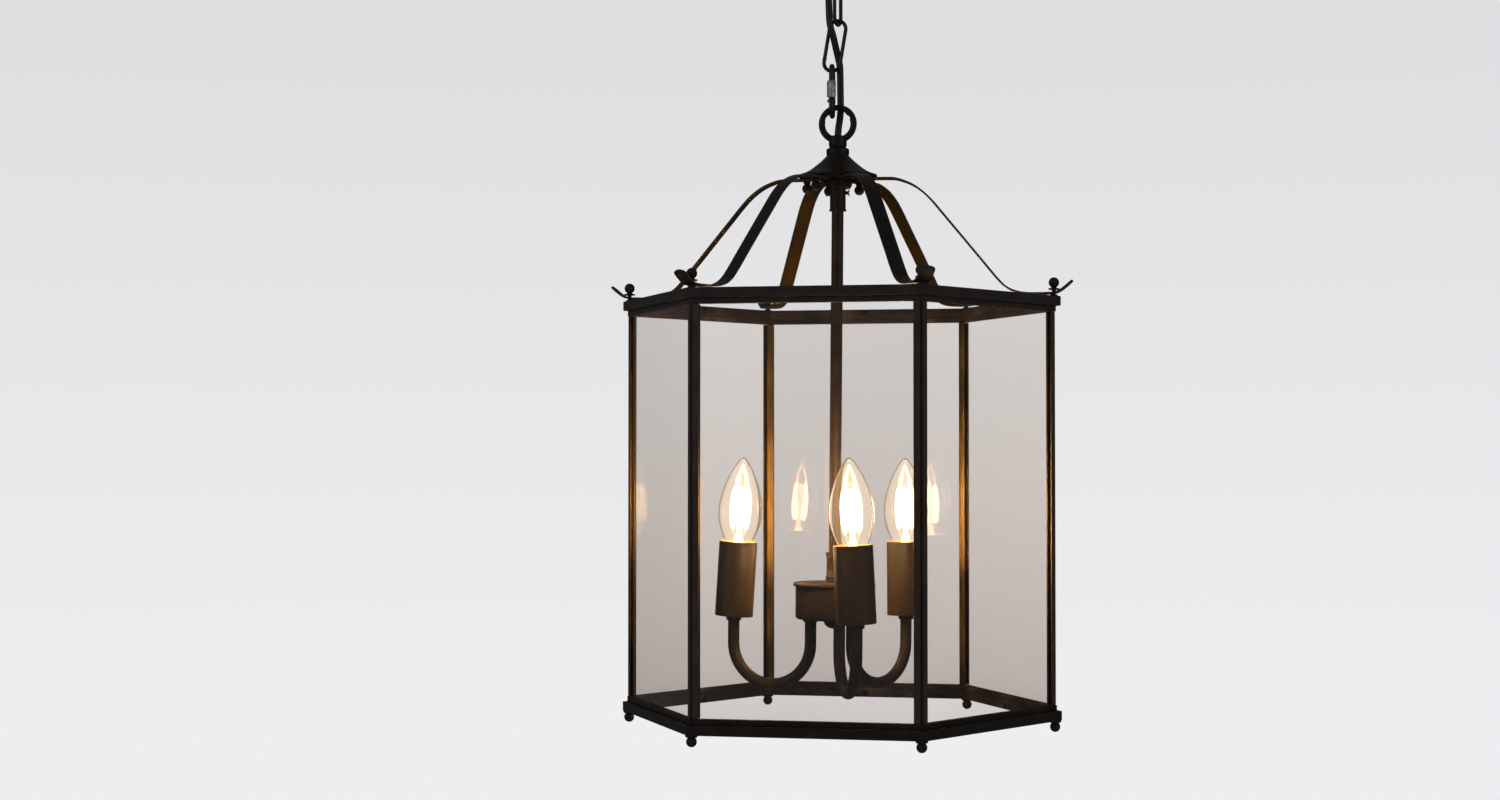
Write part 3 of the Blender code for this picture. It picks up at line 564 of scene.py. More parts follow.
def flex_material():
    made, tree, shader = surface("black_flex")
    fine = noise(tree, 1400, 2.0, (1, 1, 0.3))
    tones = [(0.3, (0.0060, 0.0056, 0.0054)), (0.7, (0.0105, 0.0098, 0.0094))]
    tree.links.new(ramp(tree, fine, tones), shader.inputs["Base Color"])
    tree.links.new(spread(tree, fine, 0.34, 0.46), shader.inputs["Roughness"])
    put(shader, {"IOR": 1.25})
    bump(tree, shader, fine, 0.2, 0.00003)
    return made


def sleeve_material():
    """Dark brown lacquered sleeve with a few tiny pale specks."""
    made, tree, shader = surface("sleeve_brown")
    cloud = noise(tree, 70, 5.0, (1, 1, 0.4))
    tones = [(0.30, (0.0148, 0.0084, 0.0025)), (0.70, (0.0220, 0.0124, 0.0037))]
    base = ramp(tree, cloud, tones)
    where = add_node(tree, "TexCoord")
    dots = add_node(tree, "TexVoronoi", {"Scale": 190})
    tree.links.new(where.outputs["Object"], dots.inputs["Vector"])
    black, white = (0, 0, 0), (1, 1, 1)
    speck = ramp(tree, dots.outputs["Distance"], [(0.05, white), (0.09, black)])
    sparse = ramp(tree, noise(tree, 260, 1.0), [(0.62, black), (0.66, white)])
    both = add_node(tree, "Math", operation="MULTIPLY")
    tree.links.new(speck, both.inputs[0])
    tree.links.new(sparse, both.inputs[1])
    mix = add_node(tree, "Mix", data_type="RGBA")
    tree.links.new(both.outputs["Value"], mix.inputs["Factor"])
    tree.links.new(base, mix.inputs[6])
    put(mix, {7: (0.30, 0.22, 0.15, 1.0)})
    tree.links.new(mix.outputs[2], shader.inputs["Base Color"])
    put(shader, {"IOR": 1.25})
    tree.links.new(spread(tree, cloud, 0.42, 0.55), shader.inputs["Roughness"])
    bump(tree, shader, noise(tree, 1500, 2.0), 0.3, 0.00005)
    return made


def holder_material():
    """White moulded plastic."""
    made, tree, shader = surface("holder_white")
    cloud = noise(tree, 90, 4.0)
    tones = [(0.3, (0.62, 0.60, 0.56)), (0.7, (0.72, 0.70, 0.66))]
    tree.links.new(ramp(tree, cloud, tones), shader.inputs["Base Color"])
    tree.links.new(spread(tree, cloud, 0.4, 0.55), shader.inputs["Roughness"])
    bump(tree, shader, noise(tree, 1800, 2.0), 0.2, 0.00004)
    return made


MAT_FLEX = flex_material()
MAT_SLEEVE = sleeve_material()
# Painted lamp glow: a bright golden metal on the sleeve's inside and top rim, standing in for
# the lamp's light falling on them.
MAT_SLEEVE_GLOW = metal(
    "sleeve_inside_painted_glow",
    [(0.34, 0.19, 0.060), (0.50, 0.29, 0.095)],
    (0.30, 0.45),
    0.6,
    at=TWO_TONES,
    scale=200,
)
MAT_HOLDER = holder_material()
MAT_WIRE = metal(
    "support_wire", [(0.35, 0.31, 0.27), (0.55, 0.5, 0.45)], (0.3, 0.4), 1.0, at=TWO_TONES
)
BRONZE = "aged_bronze"


def finish(made, body, node, *materials, slot=BRONZE, inside=None, place=None):
    """Gives a piece its materials, place and body, and hides the CAD node that it stands
    for; slot is not used. inside picks the faces that take the second material, before
    the piece moves."""
    made.data.materials.clear()
    for material in materials:
        made.data.materials.append(material)
    if inside:
        for face in made.data.polygons:
            face.material_index = 1 if inside(face.center, face.normal) else 0
    if place:
        made.data.transform(place)
    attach(made, body)
    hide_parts(node)


def faces_in(centre, normal, limit=-0.5):
    """Whether a face of the cage looks in towards the axis."""
    flat = Vector((centre.x, centre.y, 0)).normalized()
    return normal.dot(flat) < limit


def faces_down(centre, normal):
    return normal.z < -0.3


# ---------------------------------------------------------------- supply cord
CORD_R = 0.0027
CORD_ROUTE = [
    (-0.0130, -0.0080, -0.0143),
    (-0.0130, -0.0080, -0.0240),
    (-0.0130, -0.0080, -0.0340),
    (-0.0118, -0.0074, -0.0430),
    (-0.0095, -0.0062, -0.0530),
    (-0.0073, -0.0055, -0.0640),
    (-0.0063, -0.0052, -0.0740),
    (-0.0060, -0.0051, -0.0830),
    (-0.0056, -0.0052, -0.0905),
    (-0.0044, -0.0047, -0.0970),
    (-0.0031, -0.0029, -0.1020),
    (-0.0024, -0.0001, -0.1065),
    (-0.0016, 0.0027, -0.1115),
    (-0.0005, 0.0046, -0.1175),
    (0.0008, 0.0053, -0.1240),
    (0.0011, 0.0055, -0.1320),
    (0.0012, 0.0057, -0.1420),
    (0.0013, 0.0060, -0.1520),
    (0.0013, 0.0060, -0.1600),
    (0.0010, 0.0046, -0.1665),
    (0.0005, 0.0022, -0.1725),
    (0.0002, 0.0005, -0.1780),
    (0.0, 0.0, -0.1830),
    (0.0, 0.0, -0.1900),
    (0.0, 0.0, -0.2000),
    (0.0, 0.0, -0.2090),
]
# Each length of cord spans one joint of the chain: its ends, the two bodies, and the
# heights between which it passes from one to the other.
CORD_LENGTHS = [
    ("cord_1", -0.0143, -0.0740, "ceiling", "upper_link", -0.040, -0.072),
    ("cord_2", -0.0740, -0.1115, "upper_link", "lower_link", -0.078, -0.107),
    ("cord_3", -0.1115, -0.1520, "lower_link", "quick_link_body", -0.115, -0.147),
    ("cord_4", -0.1520, -0.2090, "quick_link_body", "lantern", -0.153, -0.179),
]


def make_cord():
    route = smooth_line(CORD_ROUTE, 0.0016)
    for name, top, low, over, under, start, end in CORD_LENGTHS:
        line = [p for p in route if low - 1e-6 <= p.z <= top + 1e-6]
        made = sweep(name, line, CORD_R, sides=20)
        made.data.materials.append(MAT_FLEX)
        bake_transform(made)
        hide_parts("supply_cord")
        run = sum((b - a).length for a, b in zip(line, line[1:]))
        tuple(line[0])
        [tuple(p) for p in line]


# ---------------------------------------------------------------- ceiling and chain
LINK_WIRE, LINK_HALF, LINK_RUN = 0.0015, 0.0065, 0.0272
LINK_LEAN = 9.5  # degrees by which the cord pushes the lower link over
QUICK_WIRE, QUICK_HALF, QUICK_RUN = 0.002, 0.007, 0.0256
HOOK_WIRE, HOOK_R = 0.002, 0.009
UPPER_TURN, QUICK_TURN = -12.7, 4.6  # turns of the two links' planes about Z, from YZ


def middle_of(name):
    low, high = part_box(name)
    return (low + high) / 2


def make_ceiling():
    rose = turned(
        "rose_cup",
        [
            (0.049, 0), (0.049, -0.004), (0.0452, -0.010), (0.036, -0.018),
            (0.027, -0.0233), (0.022, -0.0245), (0.0045, -0.0245), (0.0045, -0.0233),
            (0.0218, -0.0233), (0.0263, -0.0222), (0.0352, -0.017), (0.0442, -0.0092),
            (0.0478, -0.0036), (0.0478, 0),
        ],
        0.004,
        72,
        bends=4,
    )
    finish(rose, "ceiling", "ceiling_rose", MAT_FRAME)
    flats = [tuple(polar(0.008, 60 * k).xy) for k in range(6)]
    nut = bevelled(slab("rose_lock_nut", flats, -0.0298, -0.0248), 0.0007, 3)
    finish(nut, "ceiling", "rose_nut", MAT_FRAME)
    loop_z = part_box("hook_plate")[0].z + HOOK_R + HOOK_WIRE
    plate = [(0, 0), (0.032, 0), (0.032, -0.0025), (0.004, -0.0025), (0.004, -0.0335)]
    tip = [(0.0026, loop_z + 0.0095), (0, loop_z + 0.0095)]
    stem = lathe("hook_stem", fillet(plate, 0.0008) + tip, 48)
    finish(stem, "ceiling", "hook_plate", MAT_FRAME)
    circle = [polar(HOOK_R, 360 * k / 48) for k in range(48)]
    eye = sweep("hook_eye", [(p.x, 0, p.y) for p in circle], HOOK_WIRE, closed=True)
    finish(eye, "ceiling", "hook_plate", MAT_FRAME, place=spun(UPPER_TURN, (0, 0, loop_z)))
    grip = turned(
        "grip_gland",
        [
            (0.003, -0.0195), (0.0047, -0.0195), (0.0047, -0.0248), (0.0064, -0.0248),
            (0.0064, -0.0264), (0.005, -0.0275), (0.0041, -0.0335), (0.003, -0.0335),
        ],
        0.0006,
        32,
        at=(*CORD_ROUTE[0][:2], 0),
    )
    finish(grip, "ceiling", "cord_grip", MAT_FLEX, slot="black_flex")


def oval(half, run, steps):
    """A link's closed line in XZ: straight sides joined by half circles."""
    line = []
    for k in range(2 * steps + 2):
        upper = k <= steps
        angle = math.pi * (k if upper else k - 1) / steps
        shift = run / 2 if upper else -run / 2
        line.append(Vector((half * math.cos(angle), 0, half * math.sin(angle) + shift)))
    dense = []
    for a, b in zip(line, line[1:] + line[:1]):
        pieces = max(1, round((b - a).length / 0.004))
        dense += [a.lerp(b, i / pieces) for i in range(pieces)]
    return dense


def make_chain():
    link = oval(LINK_HALF, LINK_RUN, 14)
    upper = sweep("link_upper", link, LINK_WIRE, closed=True)
    place = spun(90 + UPPER_TURN, middle_of("chain_link_upper"))
    finish(upper, "upper_link", "chain_link_upper", MAT_CHAIN, slot="dark_chain", place=place)
    weld = sweep(
        "weld",
        [(-LINK_HALF, 0, -0.0125 + 0.0003 * k) for k in range(7)],
        LINK_WIRE,
        swell=[1.0, 1.12, 1.17, 1.18, 1.16, 1.11, 1.0],
    )
    lower = join("link_lower", [sweep("link_lower", link, LINK_WIRE, closed=True), weld])
    lean = Matrix.Rotation(math.radians(LINK_LEAN), 4, "Y")
    place = Matrix.Translation(middle_of("chain_link_lower")) @ lean
    finish(lower, "lower_link", "chain_link_lower", MAT_CHAIN, slot="dark_chain", place=place)
    make_quick_link()


def make_quick_link():
    """A link that is open on one side, where its threaded end meets the nut."""
    half, run = QUICK_HALF, QUICK_RUN
    foot = -run / 2 - half
    bends = [math.pi * k / 18 for k in range(19)]
    flange = (0.0154, 0.0121, 0.0119, 0.0101, 0.0099)
    line = [Vector((-half, 0, foot + h)) for h in flange]
    swell = [1.0, 1.0, 1.65, 1.65, 1.0]
    line += [Vector((-half * math.cos(a), 0, -run / 2 - half * math.sin(a))) for a in bends]
    line += [Vector((half * math.cos(a), 0, run / 2 + half * math.sin(a))) for a in bends]
    line += [Vector((-half, 0, foot + 0.0202))]
    swell += [1.0] * (len(line) - len(flange))
    # The thread is on the bar's end, above the flange.
    line[1:1] = [Vector((-half, 0, foot + 0.0136 - 0.00025 * k)) for k in range(7)]
    swell[1:1] = [1.0 if k % 2 else 1.14 for k in range(7)]
    made = sweep("quick_link_wire", line, QUICK_WIRE, swell=swell, sharp=40)
    aside = -LINK_RUN * math.sin(math.radians(LINK_LEAN))
    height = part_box("quick_link")[0].z + QUICK_WIRE - foot
    place = spun(90 + QUICK_TURN, (aside, 0, height))
    finish(made, "quick_link_body", "quick_link", MAT_CHAIN, slot="dark_chain", place=place)
    low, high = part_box("quick_link_nut")
    at = (low + high) / 2
    half_nut = [(0.0024, 0.0004), (0.0026, 0), (0.0031, 0), (0.0035, 0.0007), (0.0036, 0.0014)]
    outline = [(r, high.z - h) for r, h in half_nut]
    outline += [(r, low.z + h) for r, h in reversed(half_nut)]
    nut = lathe("nut_barrel", outline, 12, closed=True, at=(at.x, at.y, 0), sharp=20)
    finish(nut, "quick_link_nut_body", "quick_link_nut", MAT_STEEL, slot="worn_steel")


# ---------------------------------------------------------------- ring, bell and hub
EYE_Z = -0.1713
HUB_Z = -0.2153
HUB_TURN = -4.0  # degrees by which the hub has turned under the straps
HUB_STUD_R = 0.025
SHANK_R = 0.0048
SCREW_Z = -0.226


def make_eye():
    """The cast ring, worn into shallow scallops on its upper inner edge."""
    cusps = (17, 42, 133, 170)
    outer, base, wire = 0.0153, 0.0101, 0.00255
    steps, sides = 144, 20
    points, faces = [], []
    for i in range(steps):
        degrees = 360 * i / steps
        inner = base
        for a, b in zip(cusps, cusps[1:]):
            if a <= degrees <= b:
                t = (degrees - a) / (b - a)
                inner = base - 0.0003 + 0.0010 * math.sin(math.pi * t) ** 0.6
        half = (outer - inner) / 2
        centre = (outer + inner) / 2
        m = (i + 1) % steps
        for k in range(sides):
            angle = math.tau * k / sides
            p = polar(centre + half * math.cos(angle), degrees)
            points.append(Vector((p.x, wire * math.sin(angle), EYE_Z + p.y)))
            n = (k + 1) % sides
            faces.append((i * sides + k, m * sides + k, m * sides + n, i * sides + n))
    finish(mesh_from("eye_ring", points, faces, 50), "lantern", "hang_loop", MAT_FRAME)


def make_bell():
    neck = turned(
        "eye_neck",
        [
            (0.0034, -0.1808), (0.0060, -0.1808), (0.0071, -0.1820), (0.0071, -0.1884),
            (0.0065, -0.1902), (SHANK_R, -0.1905), (SHANK_R, -0.2178), (0.0034, -0.2178),
        ],
        0.0006,
        40,
    )
    finish(neck, "lantern", "hang_loop", MAT_FRAME)
    outer = [
        (0.00515, -0.1908), (0.0082, -0.1908), (0.0090, -0.1917), (0.0091, -0.1928),
        (0.0091, -0.1945), (0.0089, -0.1956), (0.0087, -0.1963), (0.0095, -0.1974),
        (0.0113, -0.1992), (0.0137, -0.2015), (0.0168, -0.2041), (0.0200, -0.2066),
        (0.0232, -0.2087), (0.0264, -0.2104), (0.0292, -0.2114), (0.0311, -0.2119),
        (0.0312, -0.2137), (0.0299, -0.2137),
    ]
    inner = [
        (0.0296, -0.2129), (0.0265, -0.2119), (0.0215, -0.2096), (0.0155, -0.2052),
        (0.0108, -0.2008), (0.0076, -0.1974), (0.0072, -0.1924), (0.00515, -0.1924),
    ]
    bell = turned("bell_shell", outer + inner, 0.0006, 72)
    # Painted shade: the bell's downward faces, in its hollow, take the near-black.
    finish(bell, "lantern", "bell_cap", MAT_FRAME, MAT_SCREW_AND_SHADE, inside=faces_down)


def make_hub():
    over, under = HUB_Z + 0.00105, HUB_Z - 0.00105
    face = over + 0.0017
    disc = turned(
        "hub_disc", [(0.0052, face), (0.027, face), (0.027, over), (0.0052, over)], 0.0005, 60
    )
    # Painted shade: the disc's lower face takes the near-black.
    finish(disc, "lantern", "strap_hub", MAT_FRAME, MAT_SCREW_AND_SHADE, inside=faces_down)
    centre = under - 0.0056
    profile = [(0, over - 0.0002), (0.0017, over - 0.0002), (0.0017, under)]
    profile += [(0.0029, under), (0.0030, under - 0.0010), (0.0024, under - 0.0018)]
    profile += ball(0.004, centre, range(52, -90, -12)) + [(0, centre - 0.004)]
    for k in range(6):
        nut = lathe(
            f"hub_ball_nut_{k + 1}", profile, 28, at=polar(HUB_STUD_R, 60 * k + HUB_TURN)
        )
        finish(nut, "lantern", "strap_hub", MAT_FRAME)
    collar = turned(
        "collar_sleeve",
        [
            (0.0051, -0.2146), (0.0066, -0.2146), (0.0066, -0.2214), (0.00625, -0.2218),
            (0.00625, -0.2388), (0.0068, -0.2391), (0.0068, -0.2404), (0.0051, -0.2404),
        ],
        0.0003,
        40,
    )
    finish(collar, "lantern", "rod_collar", MAT_FRAME)
    half = [(0.0067, 0.0008), (0.0077, 0.0009), (0.0084, 0.0016), (0.0090, 0.0028)]
    half += [(0.0096, 0.0026), (0.0093, 0.0010), (0.0088, 0.0)]
    outline = half + [(x, -y) for x, y in reversed(half[:-1])]
    for side, turn in (("right", 0), ("left", 180)):
        wing = slab("wing", outline, -0.0006, 0.0006, lambda x, y, z: Vector((x, z, y)))
        wing = bevelled(wing, 0.0002)
        shank = sweep("shank", [(x, 0, 0) for x in (0.0051, 0.006, 0.0069, 0.0078)], 0.0015)
        made = join(f"thumb_screw_{side}_winged", [wing, shank])
        place = spun(turn, (0, 0, SCREW_Z))
        finish(made, side + "_screw", "thumb_screw_" + side, MAT_FRAME, place=place)


# ---------------------------------------------------------------- straps and finials
TOP_BAND_Z = -0.3098
LOW_BAND_Z = -0.6382
FINIAL_R = 0.1697
STRAP_HALF, STRAP_THICK = 0.006, 0.0015
STRAP_LINE = [
    (0.0170, 0.0945),
    (0.0300, 0.0945),
    (0.0400, 0.0944),
    (0.0470, 0.0938),
    (0.0568, 0.0904),
    (0.0652, 0.0853),
    (0.0737, 0.0775),
    (0.0850, 0.0640),
    (0.0991, 0.0469),
    (0.1130, 0.0300),
    (0.1265, 0.0136),
    (0.1335, 0.0072),
    (0.1410, 0.0038),
    (0.1500, 0.0023),
    (0.1620, 0.0022),
    (0.1700, 0.0026),
    (0.1743, 0.0041),
    (0.1785, 0.0071),
    (0.1843, 0.0121),
]


def make_strap(k):
    """A flat bar bent to the strap's line, with rounded long edges and a round tip."""
    line = smooth_line([(r, 0, TOP_BAND_Z + h) for r, h in STRAP_LINE], 0.0022)
    tip = line[-1]
    line = line[:-1] + [line[-2].lerp(tip, t) for t in (0.3, 0.55, 0.75, 0.9)] + [tip]
    thick, edge = STRAP_THICK / 2, 0.00035
    points, faces = [], []
    for i, point in enumerate(line):
        a, b = line[max(0, i - 1)], line[min(len(line) - 1, i + 1)]
        along = (b - a).normalized()
        up = Vector((-along.z, 0, along.x))
        near_tip = max(0.0, 1 - (tip - point).length / (STRAP_HALF * 0.62))
        half = STRAP_HALF * math.sqrt(max(0.05, 1 - near_tip**2.2))
        below = [(-half + edge, -thick), (half - edge, -thick), (half, -thick + edge)]
        above = [(half, thick - edge), (half - edge, thick), (-half + edge, thick)]
        section = below + above + [(-half, thick - edge), (-half, -thick + edge)]
        points += [point + Vector((0, y, 0)) + up * n for y, n in section]
    for i in range(len(line) - 1):
        for j in range(8):
            n = (j + 1) % 8
            faces.append((i * 8 + j, (i + 1) * 8 + j, (i + 1) * 8 + n, i * 8 + n))
    faces.append(tuple(range(8)))
    faces.append(tuple((len(line) - 1) * 8 + j for j in range(8)))
    made = moved(mesh_from(f"strap_bar_{k + 1}", points, faces), spun(60 * k))
    across = polar(1, 60 * k + 90)

    # The underside faces over the cage's opening, which take the painted lamp light.
    def underside(c, n):
        return math.hypot(c.x, c.y) < 0.150 and n.z < -0.2 and abs(n.dot(across)) < 0.3

    node = f"strap_{k + 1}"
    finish(made, "lantern", node, MAT_FRAME, MAT_STRAP_UNDER, inside=underside)
    # The side faces take the painted light.
    made.data.materials.append(MAT_STRAP_EDGE)
    for face in made.data.polygons:
        if abs(face.normal.dot(across)) > 0.9:
            face.material_index = 2


def make_finial(k):
    z = TOP_BAND_Z
    profile = ball(0.0041, z + 0.0105, range(90, -60, -12))
    profile += [
        (0.0020, z + 0.0066), (0.0030, z + 0.0062), (0.0042, z + 0.0060),
        (0.0044, z + 0.0054), (0.0042, z + 0.0049), (0.0016, z + 0.0048),
        (0.0016, z + 0.0011), (0.0030, z + 0.0011), (0.0030, z + 0.0003),
        (0.0016, z + 0.0003), (0.0016, z - 0.0045), (0, z - 0.0045),
    ]
    made = lathe(f"finial_{k + 1}", profile, 32, at=polar(FINIAL_R, 60 * k))
    finish(made, "lantern", f"corner_finial_{k + 1}", MAT_FRAME)


def make_foot(k):
    z = LOW_BAND_Z
    centre = z - 0.0048
    profile = [
        (0, z + 0.0008), (0.0046, z + 0.0008), (0.0047, z - 0.0004),
        (0.0044, z - 0.0014), (0.0030, z - 0.0019), (0.0023, z - 0.0022),
    ]
    profile += ball(0.004, centre, range(48, -90, -12)) + [(0, centre - 0.004)]
    made = lathe(f"ball_foot_{k + 1}", profile, 32, at=polar(FINIAL_R, 60 * k))
    finish(made, "lantern", "bottom_ring", MAT_FRAME)


# ---------------------------------------------------------------- cage
BAND_TALL, BAND_WIDE = 0.0075, 0.009
LIP_TALL, LIP, SLOT = 0.0045, 0.0012, 0.0036  # the glazing channel's lips and inner width
PANEL_R = 0.1712
PANEL_A = PANEL_R * COS30
BAND_A = 0.175 * COS30
FLANGE_OUT, FLANGE_IN, POST_CORE = 0.0064, 0.0066, 0.0028


def hexagon(name, outline):
    """An outline of (distance from the axis, height) run round the six sides, with a
    hairline gap at each mitre."""
    sides = []
    count = len(outline)
    for k in range(6):

        def at(a, z, way, mid=60 * k + 30):
            along = (a * math.tan(math.radians(30)) - 0.00004) * way
            return polar(a, mid, z) + polar(along, mid + 90)

        points = [at(a, z, -1) for a, z in outline] + [at(a, z, 1) for a, z in outline]
        faces = [tuple(range(count)), tuple(range(count, 2 * count))]
        for i in range(count):
            n = (i + 1) % count
            faces.append((i, n, count + n, count + i))
        sides.append(mesh_from(f"side_{k}", points, faces))
    return join(name, sides)


def make_ring(which, face, way):
    """A band, the glazing channel on it and the screws inside it. way is -1 for the top
    ring, whose channel hangs below the band, and 1 for the bottom one."""
    outer = MAT_RAIL if way < 0 else MAT_FRAME
    far, inside_a = face - way * BAND_TALL, BAND_A - BAND_WIDE
    outline = [(BAND_A, far), (BAND_A, face), (inside_a, face), (inside_a, far)]
    band = hexagon(which + "_band", fillet(outline, 0.0005, closed=True))
    web, step, lip = (face + way * h for h in (0.00005, LIP, LIP_TALL))
    slot, back = PANEL_A - LIP, PANEL_A - LIP - SLOT
    last = PANEL_A - 2 * LIP - SLOT
    outline = [(PANEL_A, web), (PANEL_A, lip), (slot, lip), (slot, step)]
    outline += [(back, step), (back, lip), (last, lip), (last, web)]
    channel = hexagon(which + "_channel", fillet(outline, 0.0003, closed=True))
    node = which + "_ring"
    for made in (band, channel):
        finish(made, "lantern", node, outer, MAT_INSIDE_RAIL, inside=faces_in)
    profile = [(0, 0.0009), (0.0012, 0.00085), (0.0020, 0.0005)]
    profile += [(0.0024, 0), (0.0024, -0.0006), (0, -0.0006)]
    tilt = Matrix.Rotation(math.radians(-90), 4, "Y")
    for k in range(6):
        head = lathe(f"{which}_screw_{k + 1}", profile, 24)
        height = face - way * BAND_TALL * 0.55
        place = spun(60 * k + 30) @ Matrix.Translation((inside_a, 0, height)) @ tilt
        finish(head, "lantern", node, MAT_SCREW_AND_SHADE, place=place)


def make_post(k):
    """Two channels back to back, with a groove between them down the outer corner."""
    deep = 2 * LIP + SLOT
    half = [
        tuple(polar(0.0035, 60).xy), (0.0016, 0), (FLANGE_OUT, 0), (FLANGE_OUT, LIP),
        (POST_CORE, LIP), (POST_CORE, LIP + SLOT), (FLANGE_IN, LIP + SLOT),
        (FLANGE_IN, deep), tuple(polar(0.0085, 60).xy),
    ]

    def at(u, v, way):
        along, inward = polar(u, 120 * way), polar(v, 210 * way)
        return (PANEL_R + along.x + inward.x, along.y + inward.y)

    outline = [at(u, v, 1) for u, v in half]
    outline += [at(u, v, -1) for u, v in reversed(half[1:-1])]
    rounded = [tuple(p) for p in fillet(outline, 0.0004, closed=True)]
    low = LOW_BAND_Z + BAND_TALL + LIP_TALL + 0.0003
    high = TOP_BAND_Z - BAND_TALL - LIP_TALL - 0.0003
    made = moved(slab(f"post_{k + 1}", rounded, low, high), spun(60 * k))
    node = f"corner_post_{k + 1}"
    # The inward and side faces take the inside metal, with its painted lamp light.
    inside = lambda c, n: faces_in(c, n, 0.25)
    finish(made, "lantern", node, MAT_POST, MAT_INSIDE, inside=inside)


# ---------------------------------------------------------------- candle cluster
ROD_R, ROD_BORE = 0.0047, 0.003
ROD_TOP, ROD_END = -0.2225, -0.531
PAN_R, PAN_Z, PAN_DEEP = 0.0306, -0.537, 0.0254
PAN_FLOOR = PAN_Z - PAN_DEEP
ARM_IN, ARM_R, ARM_LOW_Z = 0.0195, 0.0046, -0.6154
SLEEVE_Z, SLEEVE_R, SLEEVE_TALL = -0.5623, 0.0152, 0.0595
CANDLES = {1: -68.6, 2: 53.5, 3: 172.0}  # direction of each candle from the rod
CANDLE_OUT = {1: 0.081, 2: 0.081, 3: 0.084}
CANDLE_RISE = {1: 0.002, 2: 0.0, 3: 0.0}
CANDLE_LEAN = {1: (0.4, -3.1), 2: (0.0, -0.8), 3: (0.4, 3.2)}  # degrees about X and Y
BULB_SINK = {1: 0.0022, 2: 0.0009, 3: 0.0013}
# The rod and all that it carries stand half a degree out of plumb in the collar.
LEAN = (
    Matrix.Translation((0, 0, SCREW_Z))
    @ Matrix.Rotation(math.radians(0.5), 4, polar(1, 99.3))
    @ Matrix.Translation((0, 0, -SCREW_Z))
)


def leaning(made):
    made.matrix_world = LEAN @ made.matrix_world
    return made


def make_rod():
    outline = [(ROD_BORE, ROD_TOP), (ROD_R, ROD_TOP), (ROD_R, ROD_END), (ROD_BORE, ROD_END)]
    rod = turned("rod_tube", outline, 0.0003, 40)
    finish(leaning(rod), "rod", "centre_rod", MAT_CLUSTER)


def make_pan():
    coupling = [
        (0.0050, -0.5095), (0.0060, -0.5095), (0.0072, -0.5104), (0.0074, -0.5112),
        (0.0072, -0.5120), (0.0063, -0.5128), (0.0068, -0.5133), (0.0068, -0.5139),
        (0.0063, -0.5145), (0.0063, -0.5282), (0.0071, -0.5290), (0.0072, -0.5297),
        (0.0066, -0.5304), (0.0072, -0.5312), (0.0072, -0.5332), (0.0040, -0.5332),
        (0.0040, -0.5400), (0.0027, -0.5400), (0.0027, -0.5313), (0.0050, -0.5313),
    ]
    made = lathe("coupling_socket", coupling, 40, closed=True, sharp=50)
    finish(leaning(made), "cluster", "rod_coupling", MAT_CLUSTER)
    lid = [(0.0044, 0.0035), (0.0312, 0.0035), (0.0325, 0.0026)]
    lid += [(0.0325, 0.0008), (0.0316, 0.0003), (0.0044, 0.0003)]
    made = turned("lid_plate", [(r, PAN_Z + h) for r, h in lid], 0.0007, 72)
    finish(leaning(made), "cluster", "pan_lid", MAT_CLUSTER)
    wall, bore = 0.0015, 0.0029
    cup = [(PAN_R, PAN_Z), (PAN_R, PAN_FLOOR), (bore, PAN_FLOOR), (bore, PAN_FLOOR + wall)]
    cup += [(PAN_R - wall, PAN_FLOOR + wall), (PAN_R - wall, PAN_Z)]
    made = turned("pan_cup", cup, 0.003, 72, bends=6)
    finish(leaning(made), "cluster", "pan_body", MAT_CLUSTER)
    nut = [
        (0, 0.0110), (0.0025, 0.0110), (0.0025, -0.0003), (0.0085, -0.0003),
        (0.0085, -0.0014), (0.0080, -0.0030), (0.0068, -0.0050), (0.0050, -0.0064),
        (0.0026, -0.0073), (0, -0.0076),
    ]
    made = lathe("pan_acorn_nut", [(r, PAN_FLOOR + h) for r, h in nut], 32)
    finish(leaning(made), "cluster", "pan_nut", MAT_CLUSTER)


def make_arm(k):
    """A U-shaped tube from the pan to a candle, with a turned collar at each end."""
    out = CANDLE_OUT[k]
    bend = (out - ARM_IN) / 2
    middle = (out + ARM_IN) / 2
    bend_z = ARM_LOW_Z + bend
    top = SLEEVE_Z + CANDLE_RISE[k]
    collar, soft = 0.0061 / ARM_R, 0.0059 / ARM_R
    rings = [1.0, soft, collar, collar, soft, 1.0]
    inner = [0.006, -0.0002, -0.0003, -0.0006, -0.0023, -0.0026, -0.0027]
    outer = [-0.0034, -0.0033, -0.0030, -0.0010, -0.0007, -0.0006, 0.0018]
    line = [(ARM_IN, 0, PAN_FLOOR + h) for h in inner] + [(ARM_IN, 0, bend_z)]
    for i in range(1, 36):
        angle = math.pi * i / 36
        line.append((middle - bend * math.cos(angle), 0, bend_z - bend * math.sin(angle)))
    line += [(out, 0, bend_z)] + [(out, 0, top + h) for h in outer]
    swell = [1.0] + rings + [1.0] * 37 + rings + [1.0]
    made = sweep(f"arm_tube_{k}", line, ARM_R, sides=28, swell=swell, sharp=40)
    made = leaning(moved(made, spun(CANDLES[k])))
    finish(made, "cluster", f"candle_arm_{k}", MAT_CLUSTER)


BULB_SHAPE = [
    (0, 0.0685),
    (0.0022, 0.0675),
    (0.0050, 0.0635),
    (0.0090, 0.0567),
    (0.0126, 0.0485),
    (0.0153, 0.0403),
    (0.0170, 0.0321),
    (0.01745, 0.0240),
    (0.0167, 0.0172),
    (0.0148, 0.0105),
    (0.0121, 0.0038),
    (0.0096, -0.0008),
    (0.0068, -0.0030),
]
BULB_OUTLINE = [(p.x, p.z) for p in smooth_line([(r, 0, z) for r, z in BULB_SHAPE], 0.0026)]
BULB_WALL = 0.00035


